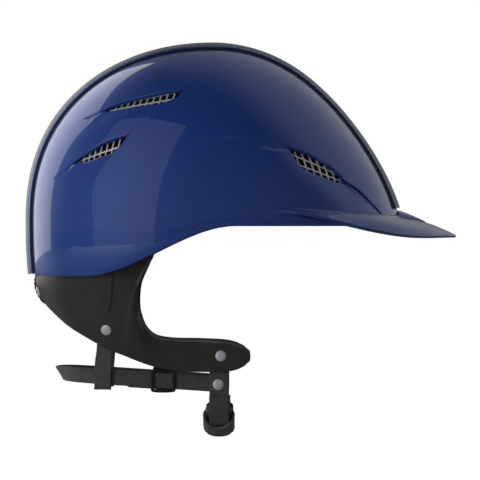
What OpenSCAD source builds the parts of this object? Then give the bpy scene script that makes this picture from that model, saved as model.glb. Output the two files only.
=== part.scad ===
// Equestrian riding helmet with a peak, vented shell, leather-type harness,
// webbing straps, side-release buckle and chin pad. Millimetres.
// +X is the wearer's front, +Y the wearer's left, +Z up.
// The origin is the middle of the head opening, level with the front rim.

/* [View] */
// node to draw, or all

/* [Shell] */
// height of the crown above the front rim
crown_h = 132.2; // [110:0.1:150]
// length from the middle to the rear
rear_len = 135.5; // [115:0.1:150]
// length from the middle to the forehead
front_len = 137.4; // [115:0.1:150]
// half width of the shell at the rim
half_w = 108; // [95:0.5:118]
// squareness of the plan outline, 2 is an ellipse
plan_n = 2.25; // [2:0.05:3]
// shell wall thickness
shell_t = 2.8; // [2:0.1:4]
// how far the rim drops from front to rear
rim_drop = 36.2; // [20:0.1:45]
// slices around the shell
shell_div = 72; // [24:4:120]

/* [Centre band] */
// how far the band stands out of the shell
band_rise = 2.4; // [1:0.1:4]
// half width of the band's textured part
band_w = 23; // [12:0.5:35]
// width of each glossy side rail
rail_w = 6; // [3:0.5:10]

/* [Peak] */
// how far the peak reaches in front of the middle
peak_reach = 171.4; // [150:0.1:190]
// peak thickness
peak_t = 3.4; // [2:0.1:5]

/* [Liner and pads] */
// thickness of the impact liner
liner_t = 23; // [15:0.5:30]
// thickness of the comfort pads
pad_t = 4.4; // [3:0.1:8]

/* [Grilles] */
// wire width as a share of the mesh opening
wire_f = 0.2; // [0.1:0.05:0.5]
// half the wire's thickness
wire_r = 0.5; // [0.3:0.05:1]

/* [Harness] */
// leather panel thickness
panel_t = 2; // [1:0.1:3]
// outer face of the jaw arm from the middle plane
jaw_y = 70; // [60:0.5:80]
// webbing thickness
web_t = 1.3; // [0.8:0.1:2]
// chin strap width
chin_w = 14; // [10:0.5:20]
// neck strap width
neck_w = 11; // [8:0.5:16]
// rivet cap radius
cap_r = 3.85; // [2.5:0.05:5]
// rivet shank radius
shank_r = 1.6; // [1:0.05:2.5]
// running clearance on a shank
pin_gap = 0.06; // [0.02:0.01:0.1]

/* [Hidden] */

mid_x = -3;
jaw_pin = [2.1, -92.6];     // x and z of the pins the chin strap swings on
chin_pin = [0.3, -113];     // x and z of the pins joining chin and neck straps
bend = [-65.4, -121];       // y and z of the fold the lower chin strap swings on
panel_in = jaw_y - panel_t; // inner face of the jaw arm
chin_y = panel_in - 0.4;    // outer face of the chin strap
neck_y = chin_y - web_t - 0.4; // outer face of the neck strap

// ---------- helpers ----------
function sgn(v) = v < 0 ? -1 : 1;
function ramp(v, a, b) = let (q = min(1, max(0, (v - a) / (b - a)))) q * q * (3 - 2 * q);
function mix(a, b, q) = a + (b - a) * q;
function flat(v) = [for (a = v) for (b = a) b];
function mirror_y(P) = [for (r = P) [for (p = r) [p[0], -p[1], p[2]]]];

// point on the helmet surface: e is the height angle, a the angle round from
// the front, t the depth under the surface of the centre band
function helm(e, a, t) = let (
    k = e < 0 ? cos(0.7 * e) : cos(e),
    b = e < 0 ? 0 : sin(2 * e),
    xf = (front_len - t) * pow(k, 1.12) * (1 - 0.138 * b),
    xr = (rear_len - t) * pow(k, 0.94) * (1 + 0.013 * b))
  [ mid_x + (cos(a) > 0 ? xf : xr) * sgn(cos(a)) * pow(abs(cos(a)), 2 / plan_n),
    (half_w - t) * pow(k, 0.92) * sgn(sin(a)) * pow(abs(sin(a)), 2 / plan_n),
    (crown_h - t) * sgn(e) * pow(abs(sin(e)), 0.9) ];
function rim_z(x) = -rim_drop * (1 - ramp(x, -97, 13)) + 1.4 * (1 - ramp(x, -136, -118));
// height angle of the rim at an angle round, lifted by up
function rim_e(a, t, up) = let (
    z0 = rim_z(helm(0, a, t)[0]) + up,
    s = pow(min(1, abs(z0) / (crown_h - t)), 1 / 0.9))
  z0 < 0 ? -asin(s) : asin(s);
// rounding keeps more slices near the rear and front middle
function helm_ring(t, up, v) = [for (i = [0:shell_div - 1]) let (a = 360 * i / shell_div, e0 = rim_e(a, t, up))
    helm(e0 + (90 - e0) * v, a, t)];
function ring_between(t, up, h, v) = [for (i = [0:shell_div - 1]) let (a = 360 * i / shell_div,
    e0 = rim_e(a, t, up), e1 = rim_e(a, t, up + h)) helm(mix(e0, e1, v), a, t)];

// closed solid between two stacks of rings, capped by a pole on each
module dome(RO, po, RI, pi) {
  m = len(RO); n = len(RO[0]); k = m * n;
  pts = concat(flat(RO), flat(RI), [po, pi]);
  faces = concat(
    [for (j = [0:m - 2]) for (i = [0:n - 1]) let (q = (i + 1) % n, a = j * n + i, b = j * n + q, c = a + n, d = b + n) each [[a, c, b], [b, c, d]]],
    [for (j = [0:m - 2]) for (i = [0:n - 1]) let (q = (i + 1) % n, a = k + j * n + i, b = k + j * n + q, c = a + n, d = b + n) each [[a, b, c], [b, d, c]]],
    [for (i = [0:n - 1]) let (q = (i + 1) % n, a = (m - 1) * n + i, b = (m - 1) * n + q) each [[a, 2 * k, b], [k + a, k + b, 2 * k + 1]]],
    [for (i = [0:n - 1]) let (q = (i + 1) % n) each [[i, q, k + i], [q, k + q, k + i]]]);
  polyhedron(points = pts, faces = faces);
}
// closed ring solid between two stacks of rings
module hoop(RO, RI) {
  m = len(RO); n = len(RO[0]); k = m * n;
  faces = concat(
    [for (j = [0:m - 2]) for (i = [0:n - 1]) let (q = (i + 1) % n, a = j * n + i, b = j * n + q, c = a + n, d = b + n) each [[a, c, b], [b, c, d], [k + a, k + b, k + c], [k + b, k + d, k + c]]],
    [for (i = [0:n - 1]) let (q = (i + 1) % n, u = (m - 1) * n) each [[i, q, k + i], [q, k + q, k + i], [u + i, k + u + i, u + q], [u + q, k + u + i, k + u + q]]]);
  polyhedron(points = concat(flat(RO), flat(RI)), faces = faces);
}
function pick(P, i, j) = P[max(0, min(len(P) - 1, i))][max(0, min(len(P[0]) - 1, j))];
function nrm(P, i, j) = let (c = cross(pick(P, i + 1, j) - pick(P, i - 1, j), pick(P, i, j + 1) - pick(P, i, j - 1))) c / norm(c);
// solid sheet over a grid of points, from d0 to d1 along the grid's normals
module sheet(P, d0, d1) {
  n = len(P); m = len(P[0]); k = n * m;
  A = [for (i = [0:n - 1]) for (j = [0:m - 1]) P[i][j] + d0 * nrm(P, i, j)];
  B = [for (i = [0:n - 1]) for (j = [0:m - 1]) P[i][j] + d1 * nrm(P, i, j)];
  polyhedron(points = concat(A, B), faces = concat(
    [for (i = [0:n - 2]) for (j = [0:m - 2]) let (a = i * m + j, b = a + m, c = b + 1, d = a + 1) each [[a, b, c], [a, c, d], [k + a, k + c, k + b], [k + a, k + d, k + c]]],
    [for (i = [0:n - 2]) let (a = i * m, b = a + m, e = a + m - 1, f = b + m - 1) each [[a, k + b, b], [a, k + a, k + b], [e, f, k + f], [e, k + f, k + e]]],
    [for (j = [0:m - 2]) let (a = j, b = j + 1, e = (n - 1) * m + j, f = e + 1) each [[a, b, k + b], [a, k + b, k + a], [e, k + f, f], [e, k + e, k + f]]]));
}
module pegs(pts, s) hull() for (p = pts) translate(p) cube(s, center = true);
module both() { children(); mirror([0, 1, 0]) children(); }
module side(s) if (s > 0) mirror([0, 1, 0]) children(); else children();
module pin_y(p, y0, y1, r) translate([p[0], y0, p[1]]) rotate([-90, 0, 0]) cylinder(r = r, h = y1 - y0, $fn = 48);
// smooth curve through a short list of control points
function crom(C, u) = let (n = len(C) - 1, s = min(n - 0.0001, max(0, u * n)), i = floor(s), q = s - i,
    a = C[max(0, i - 1)], b = C[i], c = C[i + 1], d = C[min(n, i + 2)])
  0.5 * (2 * b + (c - a) * q + (2 * a - 5 * b + 4 * c - d) * q * q + (3 * b - 3 * c + d - a) * q * q * q);

// ---------- vents ----------
// each vent is a list of [height angle, angle round] corners on the right side
front_vent = [[22.7, -63.4], [20.5, -56.1], [16.9, -48.7], [11.9, -43.3], [12.3, -48.2], [14, -54.7], [16, -60.2], [18.2, -61.8]];
upper_vent = [[36.9, -134.2], [40.7, -126.7], [43.1, -118.2], [45.1, -110], [46.4, -100.9], [42.9, -103.1], [40.2, -108.3], [39.3, -116.4], [38.1, -125]];
lower_vent = [[17.6, -139.3], [22.3, -131.5], [25.7, -123.8], [27.1, -118.1], [22.4, -121.5], [20.3, -126.3], [18.8, -132]];
function mean(V, k) = let (n = len(V)) [for (s = [0]) for (t = [for (v = V) v[k]]) t] * [for (i = [0:n - 1]) 1 / n];
function about(V, f) = let (c = [mean(V, 0), mean(V, 1)]) [for (v = V) c + (v - c) * f];
// prism through the wall between two depths
module through(V, t0, t1) pegs([for (v = V) each [helm(v[0], v[1], t0), helm(v[0], v[1], t1)]], 0.02);
module vents(f, t0, t1) both() for (V = [front_vent, upper_vent, lower_vent]) {
  W = about(V, f); h = floor(len(W) / 2);
  through([for (i = [0:1:h]) W[i]], t0, t1);
  through([for (i = [h:1:len(W)]) W[i % len(W)]], t0, t1);
  through(W, t0, t1);
}
// the grilles are square-mesh sheets; each patch is [rear top, rear low, front low, front top]
front_patch = [[26.3, -67], [16, -66.5], [9.5, -41], [15, -39.5]];
upper_patch = [[39.8, -136.5], [35.3, -135.5], [40.3, -98.8], [48.6, -98.8]];
lower_patch = [[20.6, -141.5], [15.8, -140.5], [20.8, -116.5], [29.6, -116.5]];
function place(i, n, f) = (floor(i / 2) + (i % 2) * f) / (n + f);
function wires(Q, nu, nv, t) = [for (i = [0:2 * nu + 1]) let (u = place(i, nu, wire_f)) [for (j = [0:2 * nv + 1]) let (v = place(j, nv, wire_f),
    c = mix(mix(Q[0], Q[3], u), mix(Q[1], Q[2], u), v)) helm(c[0], c[1], t)]];
module grille(Q, nu, nv) {
  P = wires(Q, nu, nv, grille_t);
  n = len(P); m = len(P[0]); k = n * m;
  function full(i, j) = i >= 0 && j >= 0 && i < n - 1 && j < m - 1 && !(i % 2 == 1 && j % 2 == 1);
  function quad(a, b, o) = o ? [[a, k + b, b], [a, k + a, k + b]] : [[a, b, k + b], [a, k + b, k + a]];
  A = [for (i = [0:n - 1]) for (j = [0:m - 1]) P[i][j] + wire_r * nrm(P, i, j)];
  B = [for (i = [0:n - 1]) for (j = [0:m - 1]) P[i][j] - wire_r * nrm(P, i, j)];
  polyhedron(points = concat(B, A), faces = concat(
    [for (i = [0:n - 2]) for (j = [0:m - 2]) if (full(i, j)) let (a = i * m + j, b = a + m, c = b + 1, d = a + 1) each [[a, b, c], [a, c, d], [k + a, k + c, k + b], [k + a, k + d, k + c]]],
    [for (i = [0:n - 2]) for (j = [0:m - 1]) if (full(i, j) != full(i, j - 1)) let (a = i * m + j) each quad(a, a + m, full(i, j))],
    [for (i = [0:n - 1]) for (j = [0:m - 2]) if (full(i, j) != full(i - 1, j)) let (a = i * m + j) each quad(a, a + 1, !full(i, j))]));
}

// ---------- shell ----------
rows = [0, 0.058, 0.13, 0.22, 0.32, 0.42, 0.52, 0.62, 0.72, 0.81, 0.89, 0.95];
function peak_edge(f) = let (c = pow(abs(cos(f)), 2 / 1.53), s = sgn(f) * pow(abs(sin(f)), 2 / 1.53), x = 52 + (peak_reach - 52) * c)
  [x, (half_w - 3) * s, 13 - 20.2 * ramp(x, 30, 148) + 0.7 * ramp(x, 150, 172)];
function peak_root(f) = let (p = peak_edge(f), y = p[1] * 0.985, z = 5.5 + 5.3 * exp(-pow(y / 24, 2)) + 8 * pow(abs(y) / 105, 3))
  [shell_x(y, z, band_rise - 0.3), y, z];
peak_grid = [for (i = [0:28]) let (f = -84 + 6 * i, a = peak_root(f), b = peak_edge(f))
    [for (j = [0:5]) let (v = j / 5) mix(a, b, v) + [0, 0, 7.6 * v * (1 - v) * ramp(abs(cos(f)), 0, 0.8)]]];
module peak() color([0.08, 0.14, 0.36]) sheet(peak_grid, 0, peak_t);
module outer_shell() color([0.08, 0.14, 0.36]) render() difference() {
  dome([for (v = rows) helm_ring(band_rise, 0, v)], helm(90, 0, band_rise),
       [for (v = rows) helm_ring(band_rise + shell_t, 0, v)], helm(90, 0, band_rise + shell_t));
  vents(1, -6, 14);
}

// ---------- centre band and rails ----------
// x and height angle of the surface by implicit form
function z_e(z, t) = sgn(z) * asin(min(1, pow(abs(z) / (crown_h - t), 1 / 0.9)));
function half_len(e, t, fr) = let (k = e < 0 ? cos(0.7 * e) : cos(e), b = e < 0 ? 0 : sin(2 * e))
  fr ? (front_len - t) * pow(k, 1.12) * (1 - 0.138 * b) : (rear_len - t) * pow(k, 0.94) * (1 + 0.013 * b);
function half_wid(e, t) = (half_w - t) * pow(e < 0 ? cos(0.7 * e) : cos(e), 0.92);
function outside(x, y, z, t) = z >= crown_h - t ? 9 : let (e = z_e(z, t))
  pow(abs(x) / max(0.01, half_len(e, t, x > 0)), plan_n) + pow(abs(y) / max(0.01, half_wid(e, t)), plan_n);
// distance from the middle at which a ray at angle th in the plane y meets the surface
function reach(y, th, t, lo = 40, hi = 160, n = 22) = n == 0 ? (lo + hi) / 2 : let (m = (lo + hi) / 2)
  outside(m * cos(th), y, m * sin(th), t) > 1 ? reach(y, th, t, lo, m, n - 1) : reach(y, th, t, m, hi, n - 1);
function shell_x(y, z, t) = let (e = z_e(z, t)) mid_x + half_len(e, t, true) * pow(max(0, 1 - pow(abs(y) / half_wid(e, t), plan_n)), 1 / plan_n);
// point over the crown at y, from the rear (u = 0) to the front (u = 1)
band_rear = 193; band_front = 5.6;
function over(y, u, t) = let (th = mix(band_rear, band_front, u), r = reach(y, th, t)) [mid_x + r * cos(th), y, r * sin(th)];
module strip(y0, y1, ny, t0, t1) {
  nu = 44;
  RA = [for (i = [0:nu]) [for (j = [0:ny]) over(mix(y0, y1, j / ny), i / nu, t0)]];
  RB = [for (i = [0:nu]) [for (j = [0:ny]) over(mix(y0, y1, j / ny), i / nu, t1)]];
  m = ny + 1; k = (nu + 1) * m;
  polyhedron(points = concat(flat(RA), flat(RB)), faces = concat(
    [for (i = [0:nu - 1]) for (j = [0:ny - 1]) let (a = i * m + j, b = a + m, c = b + 1, d = a + 1) each [[a, b, c], [a, c, d], [k + a, k + c, k + b], [k + a, k + d, k + c]]],
    [for (i = [0:nu - 1]) let (a = i * m, b = a + m, e = a + ny, f = b + ny) each [[a, k + b, b], [a, k + a, k + b], [e, f, k + f], [e, k + f, k + e]]],
    [for (j = [0:ny - 1]) let (a = j, b = j + 1, e = nu * m + j, f = e + 1) each [[a, b, k + b], [a, k + b, k + a], [e, k + f, f], [e, k + e, k + f]]]));
}
module centre_band() color([0.35, 0.36, 0.38]) strip(-band_w, band_w, 8, band_rise - 0.3, 0);
module rail() strip(-band_w - rail_w, -band_w - 0.2, 3, band_rise - 0.3, 0.35);
module band_rail_left() color([0.1, 0.18, 0.42]) side(1) rail();
module band_rail_right() color([0.1, 0.18, 0.42]) rail();

// ---------- grilles, liner, pads ----------
grille_t = band_rise + shell_t + 1.1;
module front_grille_left() color([0.8, 0.8, 0.82]) side(1) grille(front_patch, 9, 3);
module front_grille_right() color([0.8, 0.8, 0.82]) grille(front_patch, 9, 3);
module upper_grille_left() color([0.8, 0.8, 0.82]) side(1) grille(upper_patch, 13, 2);
module upper_grille_right() color([0.8, 0.8, 0.82]) grille(upper_patch, 13, 2);
module lower_grille_left() color([0.8, 0.8, 0.82]) side(1) grille(lower_patch, 10, 2);
module lower_grille_right() color([0.8, 0.8, 0.82]) grille(lower_patch, 10, 2);

foam_out = band_rise + shell_t + 0.75;
foam_in = foam_out + liner_t;
pad_out = foam_in + 2.4;
foam_up = 11; // height of the liner's lower edge above the rim
// room for a grille in the liner, cut as two halves so that it follows the curve
module pocket(Q) {
  A = mix(Q[0], Q[3], 0.5); B = mix(Q[1], Q[2], 0.5);
  for (R = [[Q[0], Q[1], B, A], [A, B, Q[2], Q[3]]]) through(R, foam_out - 12, foam_out + 2.2);
}
module impact_liner() color([0.1, 0.1, 0.11]) render() difference() {
  dome([for (v = [0, 0.08, 0.2, 0.34, 0.48, 0.62, 0.75, 0.87, 0.95]) helm_ring(foam_out, foam_up, v)], helm(90, 0, foam_out),
       [for (v = [0, 0.08, 0.2, 0.34, 0.48, 0.62, 0.75, 0.87, 0.95]) helm_ring(foam_in, foam_up, v)], helm(90, 0, foam_in));
  vents(1.45, 3, foam_out + 5);
  vents(0.8, foam_out + 3, foam_in + 12);
  both() { for (Q = [front_patch, upper_patch, lower_patch]) pocket(about(Q, 1.35)); for (k = [0, 1]) anchor(k, 0.5); }
}
module headband_pad() color([0.12, 0.12, 0.13])
  hoop([for (v = [0:0.25:1]) ring_between(pad_out + 1.4 * pow(2 * v - 1, 4), 5, 34, v)],
       [for (v = [0:0.25:1]) ring_between(pad_out + pad_t - 1.2 * pow(2 * v - 1, 4), 5, 34, v)]);
module crown_pad() color([0.12, 0.12, 0.13])
  dome([for (v = [0.56, 0.66, 0.76, 0.86, 0.94]) [for (i = [0:35]) helm(90 * v, 10 * i, pad_out)]], helm(90, 0, pad_out),
       [for (v = [0.58, 0.66, 0.76, 0.86, 0.94]) [for (i = [0:35]) helm(90 * v, 10 * i, pad_out + pad_t)]], helm(90, 0, pad_out + pad_t));
module tab(e, a) sheet([for (i = [-1:1]) [for (j = [-1:1]) helm(e + 4 * i, a + 4.5 * j, foam_in + 1.55)]], -0.5, 0.5);
module pad_tabs() color([0.05, 0.05, 0.05]) { for (a = [0, 55, 125, 180, 235, 305]) tab(rim_e(a, pad_out, 24), a);
  for (a = [45, 135, 225, 315]) tab(66, a); }

// ---------- harness panels, right side ----------
// edges of the leaf from the nape to the end of the jaw arm
top_edge = [[-127.6, 0, -30], [-125.4, -27, -29], [-112.6, -54.4, -28.5], [-87.6, -73.2, -26.5], [-64, -81, -21.5], [-46, -83, -17.5],
  [-54.4, -81, -34], [-58.2, -76, -51], [-55.4, -72, -66], [-47.4, -69.8, -77.4], [-35, -69, -81], [-12, -69, -81.7], [7, -69, -82.9], [17, -69, -86.2], [22.2, -69, -90.4]];
low_edge = [[-123.5, 0, -55.5], [-119.5, -24, -59.5], [-106, -48, -71.5], [-90, -59.6, -81.6], [-77, -64.2, -88.6], [-67, -66, -92.5],
  [-60.5, -67, -95], [-55, -67.6, -97], [-49.5, -68, -98.8], [-42.5, -68.7, -100.7], [-32, -69, -102.7], [-12, -69, -103.8], [8, -69, -103.2], [17, -69, -100.6], [22, -69, -96.6]];
function leaf(u, v) = let (a = crom(top_edge, u), b = crom(low_edge, u), o = ramp(u, 0.5, 0.7))
  mix(a, b, v) + [-4.7, 0, 0] * 4 * v * (1 - v) * (1 - ramp(u, 0.02, 0.26)) + [0, -2.6, 0] * 4 * v * (1 - v) * ramp(u, 0.05, 0.3) * (1 - o);
leaf_grid = [for (i = [0:42]) [for (j = [0:5]) leaf(mix(0.006, 1, i / 42), j / 5)]];
module panel() difference() {
  sheet(leaf_grid, -panel_t / 2, panel_t / 2);
  pin_y(jaw_pin, -jaw_y - 3, -jaw_y + 6, shank_r + 0.02);
  pin_y(rear_pin, -76, -54, shank_r + 0.02);
}
module harness_panel_left() color([0.15, 0.15, 0.14]) side(1) panel();
module harness_panel_right() color([0.15, 0.15, 0.14]) panel();
// V-shaped tongue stitched on the outside of each leaf
tongue_grid = [for (i = [0:8]) let (q = i / 8) [for (j = [0:7]) let (v = j / 7, c = sqrt(max(0.02, 1 - pow(v, 8))), k = mix(0.261, 0.256, v))
    leaf(mix(mix(0.163, 0.253, v), mix(0.257, 0.267, v), 0.5 + (q - 0.5) * c), mix(0.02, 0.6, v))]];
module tongue() sheet(tongue_grid, -panel_t / 2 - 1.3, -panel_t / 2 - 0.1);
module anchor_tongue_left() color([0.17, 0.17, 0.16]) side(1) tongue();
module anchor_tongue_right() color([0.17, 0.17, 0.16]) tongue();
// webbing tabs from the leaf up into slots in the liner
function anchor_grid(k) = let (u = k == 0 ? 0.285 : 0.2, p = leaf(u, 0.1), d = crom(top_edge, u + 0.02) - crom(top_edge, u - 0.02), t = [d[0], d[1], 0] / norm([d[0], d[1], 0]), n = [-t[1], t[0], 0])
  [for (i = [-1:1]) [for (j = [0:1]) p + n * 2.6 + t * 6 * i + [0, 0, mix(-6, 30, j)]]];
module anchor(k, g) hull() for (r = anchor_grid(k)) for (p = r) translate(p) cube([1 + 2 * g, 1 + 2 * g, 1 + 2 * g], center = true);
module harness_anchors() color([0.2, 0.2, 0.2]) both() for (k = [0, 1]) anchor(k, 0);
// seam strip over the join of the two leaves at the nape
module nape_bridge() color([0.2, 0.2, 0.2]) sheet([for (i = [0:8]) [for (j = [0:5]) let (y = mix(-9, 9, i / 8), u = abs(y) / 370, p = leaf(u, mix(0.26, 0.97, j / 5)))
    [p[0], y, p[2]]]], panel_t / 2 + 0.25, panel_t / 2 + 1.35);
module cap(h) { cylinder(r1 = cap_r, r2 = cap_r - 0.35, h = h * 0.6, $fn = 48); translate([0, 0, h * 0.6 - 0.01]) cylinder(r1 = cap_r - 0.35, r2 = cap_r * 0.45, h = h * 0.4, $fn = 48); }
nape_at = leaf(0.052, 0.62);
nape_n = nrm([for (i = [0:2]) [for (j = [0:2]) leaf(0.042 + 0.01 * i, 0.57 + 0.05 * j)]], 1, 1);
module nape_rivets() color([0.75, 0.74, 0.78]) both() translate(nape_at) rotate([0, acos(-nape_n[2]), atan2(-nape_n[1], -nape_n[0])]) translate([0, 0, panel_t / 2 + 0.08]) cap(1.3);
// a rivet with its shank along Y: outer cap, shank and inner washer
module rivet(p, y_out, y_in) { translate([p[0], y_out, p[1]]) rotate([90, 0, 0]) translate([0, 0, -0.01]) cap(1.3);
  pin_y(p, y_out - 0.5, y_in + 0.5, shank_r); pin_y(p, y_in, y_in + 0.9, 3.2); }
rear_u = [0.262, 0.8]; // where the rear pin meets the leaf
rear_at = leaf(rear_u[0], rear_u[1]);
rear_pin = [rear_at[0], rear_at[2]];  // x and z of the pins the drop straps swing on
rear_g = [for (i = [-1:1]) [for (j = [-1:1]) leaf(rear_u[0] + 0.01 * i, rear_u[1] + 0.03 * j)]];
rear_n = -nrm(rear_g, 1, 1);
rear_yaw = atan(rear_n[0] / rear_n[1]);
lean = rear_n[2] / rear_n[1];  // how fast the leaf leans in going down
drop_in = 3.8;                // middle of the drop strap inboard of the middle of the leaf
module rear_rivets() color([0.75, 0.74, 0.78]) both() {
  translate(rear_at) rotate([0, acos(rear_n[2]), atan2(rear_n[1], rear_n[0])]) translate([0, 0, panel_t / 2 + 0.06]) cap(1.3);
  pin_y(rear_pin, rear_at[1] - panel_t / 2 - 0.4, rear_at[1] + drop_in + 2.8, shank_r);
  pin_y(rear_pin, rear_at[1] + drop_in + 2.5, rear_at[1] + drop_in + 3.4, 3.2);
}
module jaw_rivets() color([0.75, 0.74, 0.78]) both() rivet(jaw_pin, -jaw_y - 0.05, -chin_y + web_t + 0.35);
module chin_rivets() color([0.75, 0.74, 0.78]) both() rivet(chin_pin, -chin_y - 0.05, -neck_y + web_t + 0.4);

// ---------- neck strap ----------
neck_mid = [-58, 55.5];  // middle and half length of the bend at the nape
function neck_c(q) = let (a = 90 + 90 * q, lean = 0, c = pow(max(0, -cos(a)), 2 / 3), s = pow(abs(sin(a)), 2 / 3))
  [neck_mid[0] - neck_mid[1] * c, -(neck_y - web_t / 2) * s];
function neck_z(x) = mix(-105.3, -112.9, (x + 114) / 114);
// i runs along the strap, j across it
function neck_row(x, y, nx) = let (z = neck_z(x), l = nx * 7.5)
  [for (j = [0:1]) let (d = (0.5 - j) * neck_w) [x - l * (0.5 - j) * 1.0, y - sgn(y) * 0, z + d * (1 - 0.05 * nx)]];
half_strap = concat([for (x = [4.5, -2, -14, -26, -38, -50]) neck_row(x, -(neck_y - web_t / 2), 0)],
  [for (i = [0:14]) let (q = i / 14, c = neck_c(q)) neck_row(c[0], c[1], pow(q, 2))]);
neck_grid = concat(half_strap, [for (i = [len(half_strap) - 2:-1:0]) [for (p = half_strap[i]) [p[0], -p[1], p[2]]]]);
module neck_strap() color([0.22, 0.22, 0.22]) difference() {
  sheet(neck_grid, -web_t / 2, web_t / 2);
  pin_y(chin_pin, -80, 80, shank_r + pin_gap);
}
// ---------- drop straps ----------
// a strap on the rear pin whose lower end is sewn into a loop round the neck strap
drop_x = -82;
loop_y = neck_c(0.36)[1];
loop_z = neck_z(drop_x);
loop_h = neck_w / 2 + 1.5;
loop_s = web_t / 2 + 1.3;
drop_tilt = 12.5;
// middle of the strap seen along its width: y and z
drop_len = rear_pin[1] - loop_z;
function under(z) = rear_at[1] + drop_in + lean * (rear_pin[1] - z);
drop_path = concat([for (z = [rear_pin[1] + 5.5, rear_pin[1], rear_pin[1] - 5, rear_pin[1] - 10, rear_pin[1] - 14.5]) [under(z), z]],
  [[mix(under(rear_pin[1] - 17), loop_y - loop_s - web_t / 2, 0.6), loop_z + loop_h + 7]],
  [for (v = [0, 0.5, 1]) [loop_y - loop_s - web_t / 2, loop_z + mix(loop_h + 2, -loop_h, v)]],
  [for (a = [30:30:150]) [loop_y - (loop_s + web_t / 2) * cos(a), loop_z - loop_h - (loop_s + web_t / 2) * sin(a) * 0.6]],
  [for (v = [0, 0.5, 1]) [loop_y + loop_s + web_t / 2, loop_z + mix(-loop_h, loop_h, v)]],
  [[loop_y + loop_s * 0.5, loop_z + loop_h + 2.6], [loop_y - loop_s + web_t * 0.9, loop_z + loop_h + 5]]);
module drop_strap() difference() {
  sheet([for (p = drop_path) let (f = ramp(p[1], loop_z, rear_pin[1]), xc = mix(drop_x, rear_pin[0] - 0.4, f), w = mix(drop_tilt, rear_yaw, f))
    [for (j = [0:1]) let (s = (j - 0.5) * 12) [xc + s, p[0] - s * tan(w), p[1]]]], -web_t / 2, web_t / 2);
  pin_y(rear_pin, -80, -50, shank_r + pin_gap);
}
module drop_strap_left() color([0.2, 0.2, 0.2]) side(1) drop_strap();
module drop_strap_right() color([0.2, 0.2, 0.2]) drop_strap();

// ---------- sliders and tails ----------
sl = [-47.6, -30]; sl_z = neck_z(-38.8);
module bar(x0, x1, y0, y1, z0, z1) translate([x0, y0, z0]) cube([x1 - x0, y1 - y0, z1 - z0]);
module slider() {
  y = -neck_y;                       // outer face of the neck strap
  h = neck_w / 2 + 0.9;              // half height of the window
  bar(sl[0], sl[0] + 2.3, y - 1.35, y - 0.35, sl_z - h - 2, sl_z + h + 2);
  bar(sl[1] - 2.3, sl[1], y - 1.35, y - 0.35, sl_z - h - 2, sl_z + h + 2);
  bar(sl[0], sl[1], y - 1.35, y + web_t + 1.3, sl_z + h, sl_z + h + 2);
  bar(sl[0], sl[1], y - 1.35, y + web_t + 1.3, sl_z - h - 2, sl_z - h);
  bar(-40, -37.6, y + web_t + 0.3, y + web_t + 1.3, sl_z - h - 1, sl_z + h + 1);
}
module slider_left() color([0.05, 0.05, 0.05]) side(1) slider();
module slider_right() color([0.05, 0.05, 0.05]) slider();
module strap_tail() { y = -neck_y + web_t; sheet([for (x = [-40.05, -44, -50, -58, -64]) let (z = neck_z(x) - 1.3) [for (j = [0:1]) [x, y + 0.3 + web_t / 2 + 0.6 * ramp(-x, 54, 66), z + (0.5 - j) * (neck_w - 1)]]], -web_t / 2, web_t / 2); }
module strap_tail_left() color([0.22, 0.22, 0.22]) side(1) strap_tail();
module strap_tail_right() color([0.22, 0.22, 0.22]) strap_tail();

// ---------- chin strap and buckle ----------
cs_x = 1.1;
cy = chin_y - web_t / 2;
module ribbon_yz(path, w, t, x = cs_x) sheet([for (p = path) [[x - w / 2, p[0], p[1]], [x + w / 2, p[0], p[1]]]], -t / 2, t / 2);
module chin_strap_upper() color([0.22, 0.22, 0.22]) difference() {
  ribbon_yz([[-cy, -84.6], [-cy, -100], [-cy, -114], [-cy + 0.02, -118.8], [-cy + 0.5, bend[1] + 1.1]], chin_w, web_t);
  pin_y(jaw_pin, -80, -50, shank_r + pin_gap); pin_y(chin_pin, -80, -50, shank_r + 0.02);
}
// lower strap: from the fold on the right, under the chin to the plug's bar on the left
low_z = -147;
arc_r = 127.8; arc_a = 4.6;  // the plug leaves the socket on this arc about the fold
buck_o = [bend[0] + arc_r * cos(arc_a), bend[1] - arc_r * sin(arc_a)];
function buck(y, z) = [buck_o[0] + y * cos(arc_a) + z * sin(arc_a), buck_o[1] - y * sin(arc_a) + z * cos(arc_a)];
module at_buckle() translate([cs_x, buck_o[0], buck_o[1]]) rotate([-arc_a, 0, 0]) children();
top_bar = buck(0, 7);
low_bar = buck(0, -15.8);
function sling(u) = u < 0.5 ? let (a = 180 * u) [bend[0] * pow(cos(a), 2 / 2.3), mix(bend[1], low_z, pow(sin(a), 2 / 2.3))]
  : let (v = (u - 0.5) * 2) [mix(0, low_bar[0] - 2.2, v), mix(low_z, low_bar[1] - 2.05, v) - 0.9 * sin(180 * v)];
lower_path = concat([for (i = [0:24]) sling(i / 24)], [for (a = [-90:30:180]) low_bar + 2.08 * [cos(a), sin(a)]]);
module chin_strap_lower() color([0.22, 0.22, 0.22]) ribbon_yz(lower_path, chin_w, web_t);
left_path = concat([[cy, -84.6], [cy, -100], [cy, -114], [cy - 0.05, -118], [cy - 0.4, -119.3], [cy - 1.55, -121.8]],
    [for (a = [0:-36:-180]) top_bar + 1.74 * [cos(a), sin(a)]],
    [for (d = [[0.3, 2.4], [0.9, 4.4]]) top_bar + [-1.74, 0] + d]);
module chin_strap_left() color([0.22, 0.22, 0.22]) difference() {
  sheet([for (p = left_path) let (w = p[1] > -117.2 && p[0] > cy - 1 ? chin_w : p[1] > -119 && p[0] > cy - 1 ? 13.4 : 12.6) [[cs_x - w / 2, p[0], p[1]], [cs_x + w / 2, p[0], p[1]]]], -web_t / 2, web_t / 2);
  pin_y(jaw_pin, 50, 80, shank_r + pin_gap); pin_y(chin_pin, 50, 80, shank_r + 0.02);
}
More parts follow.
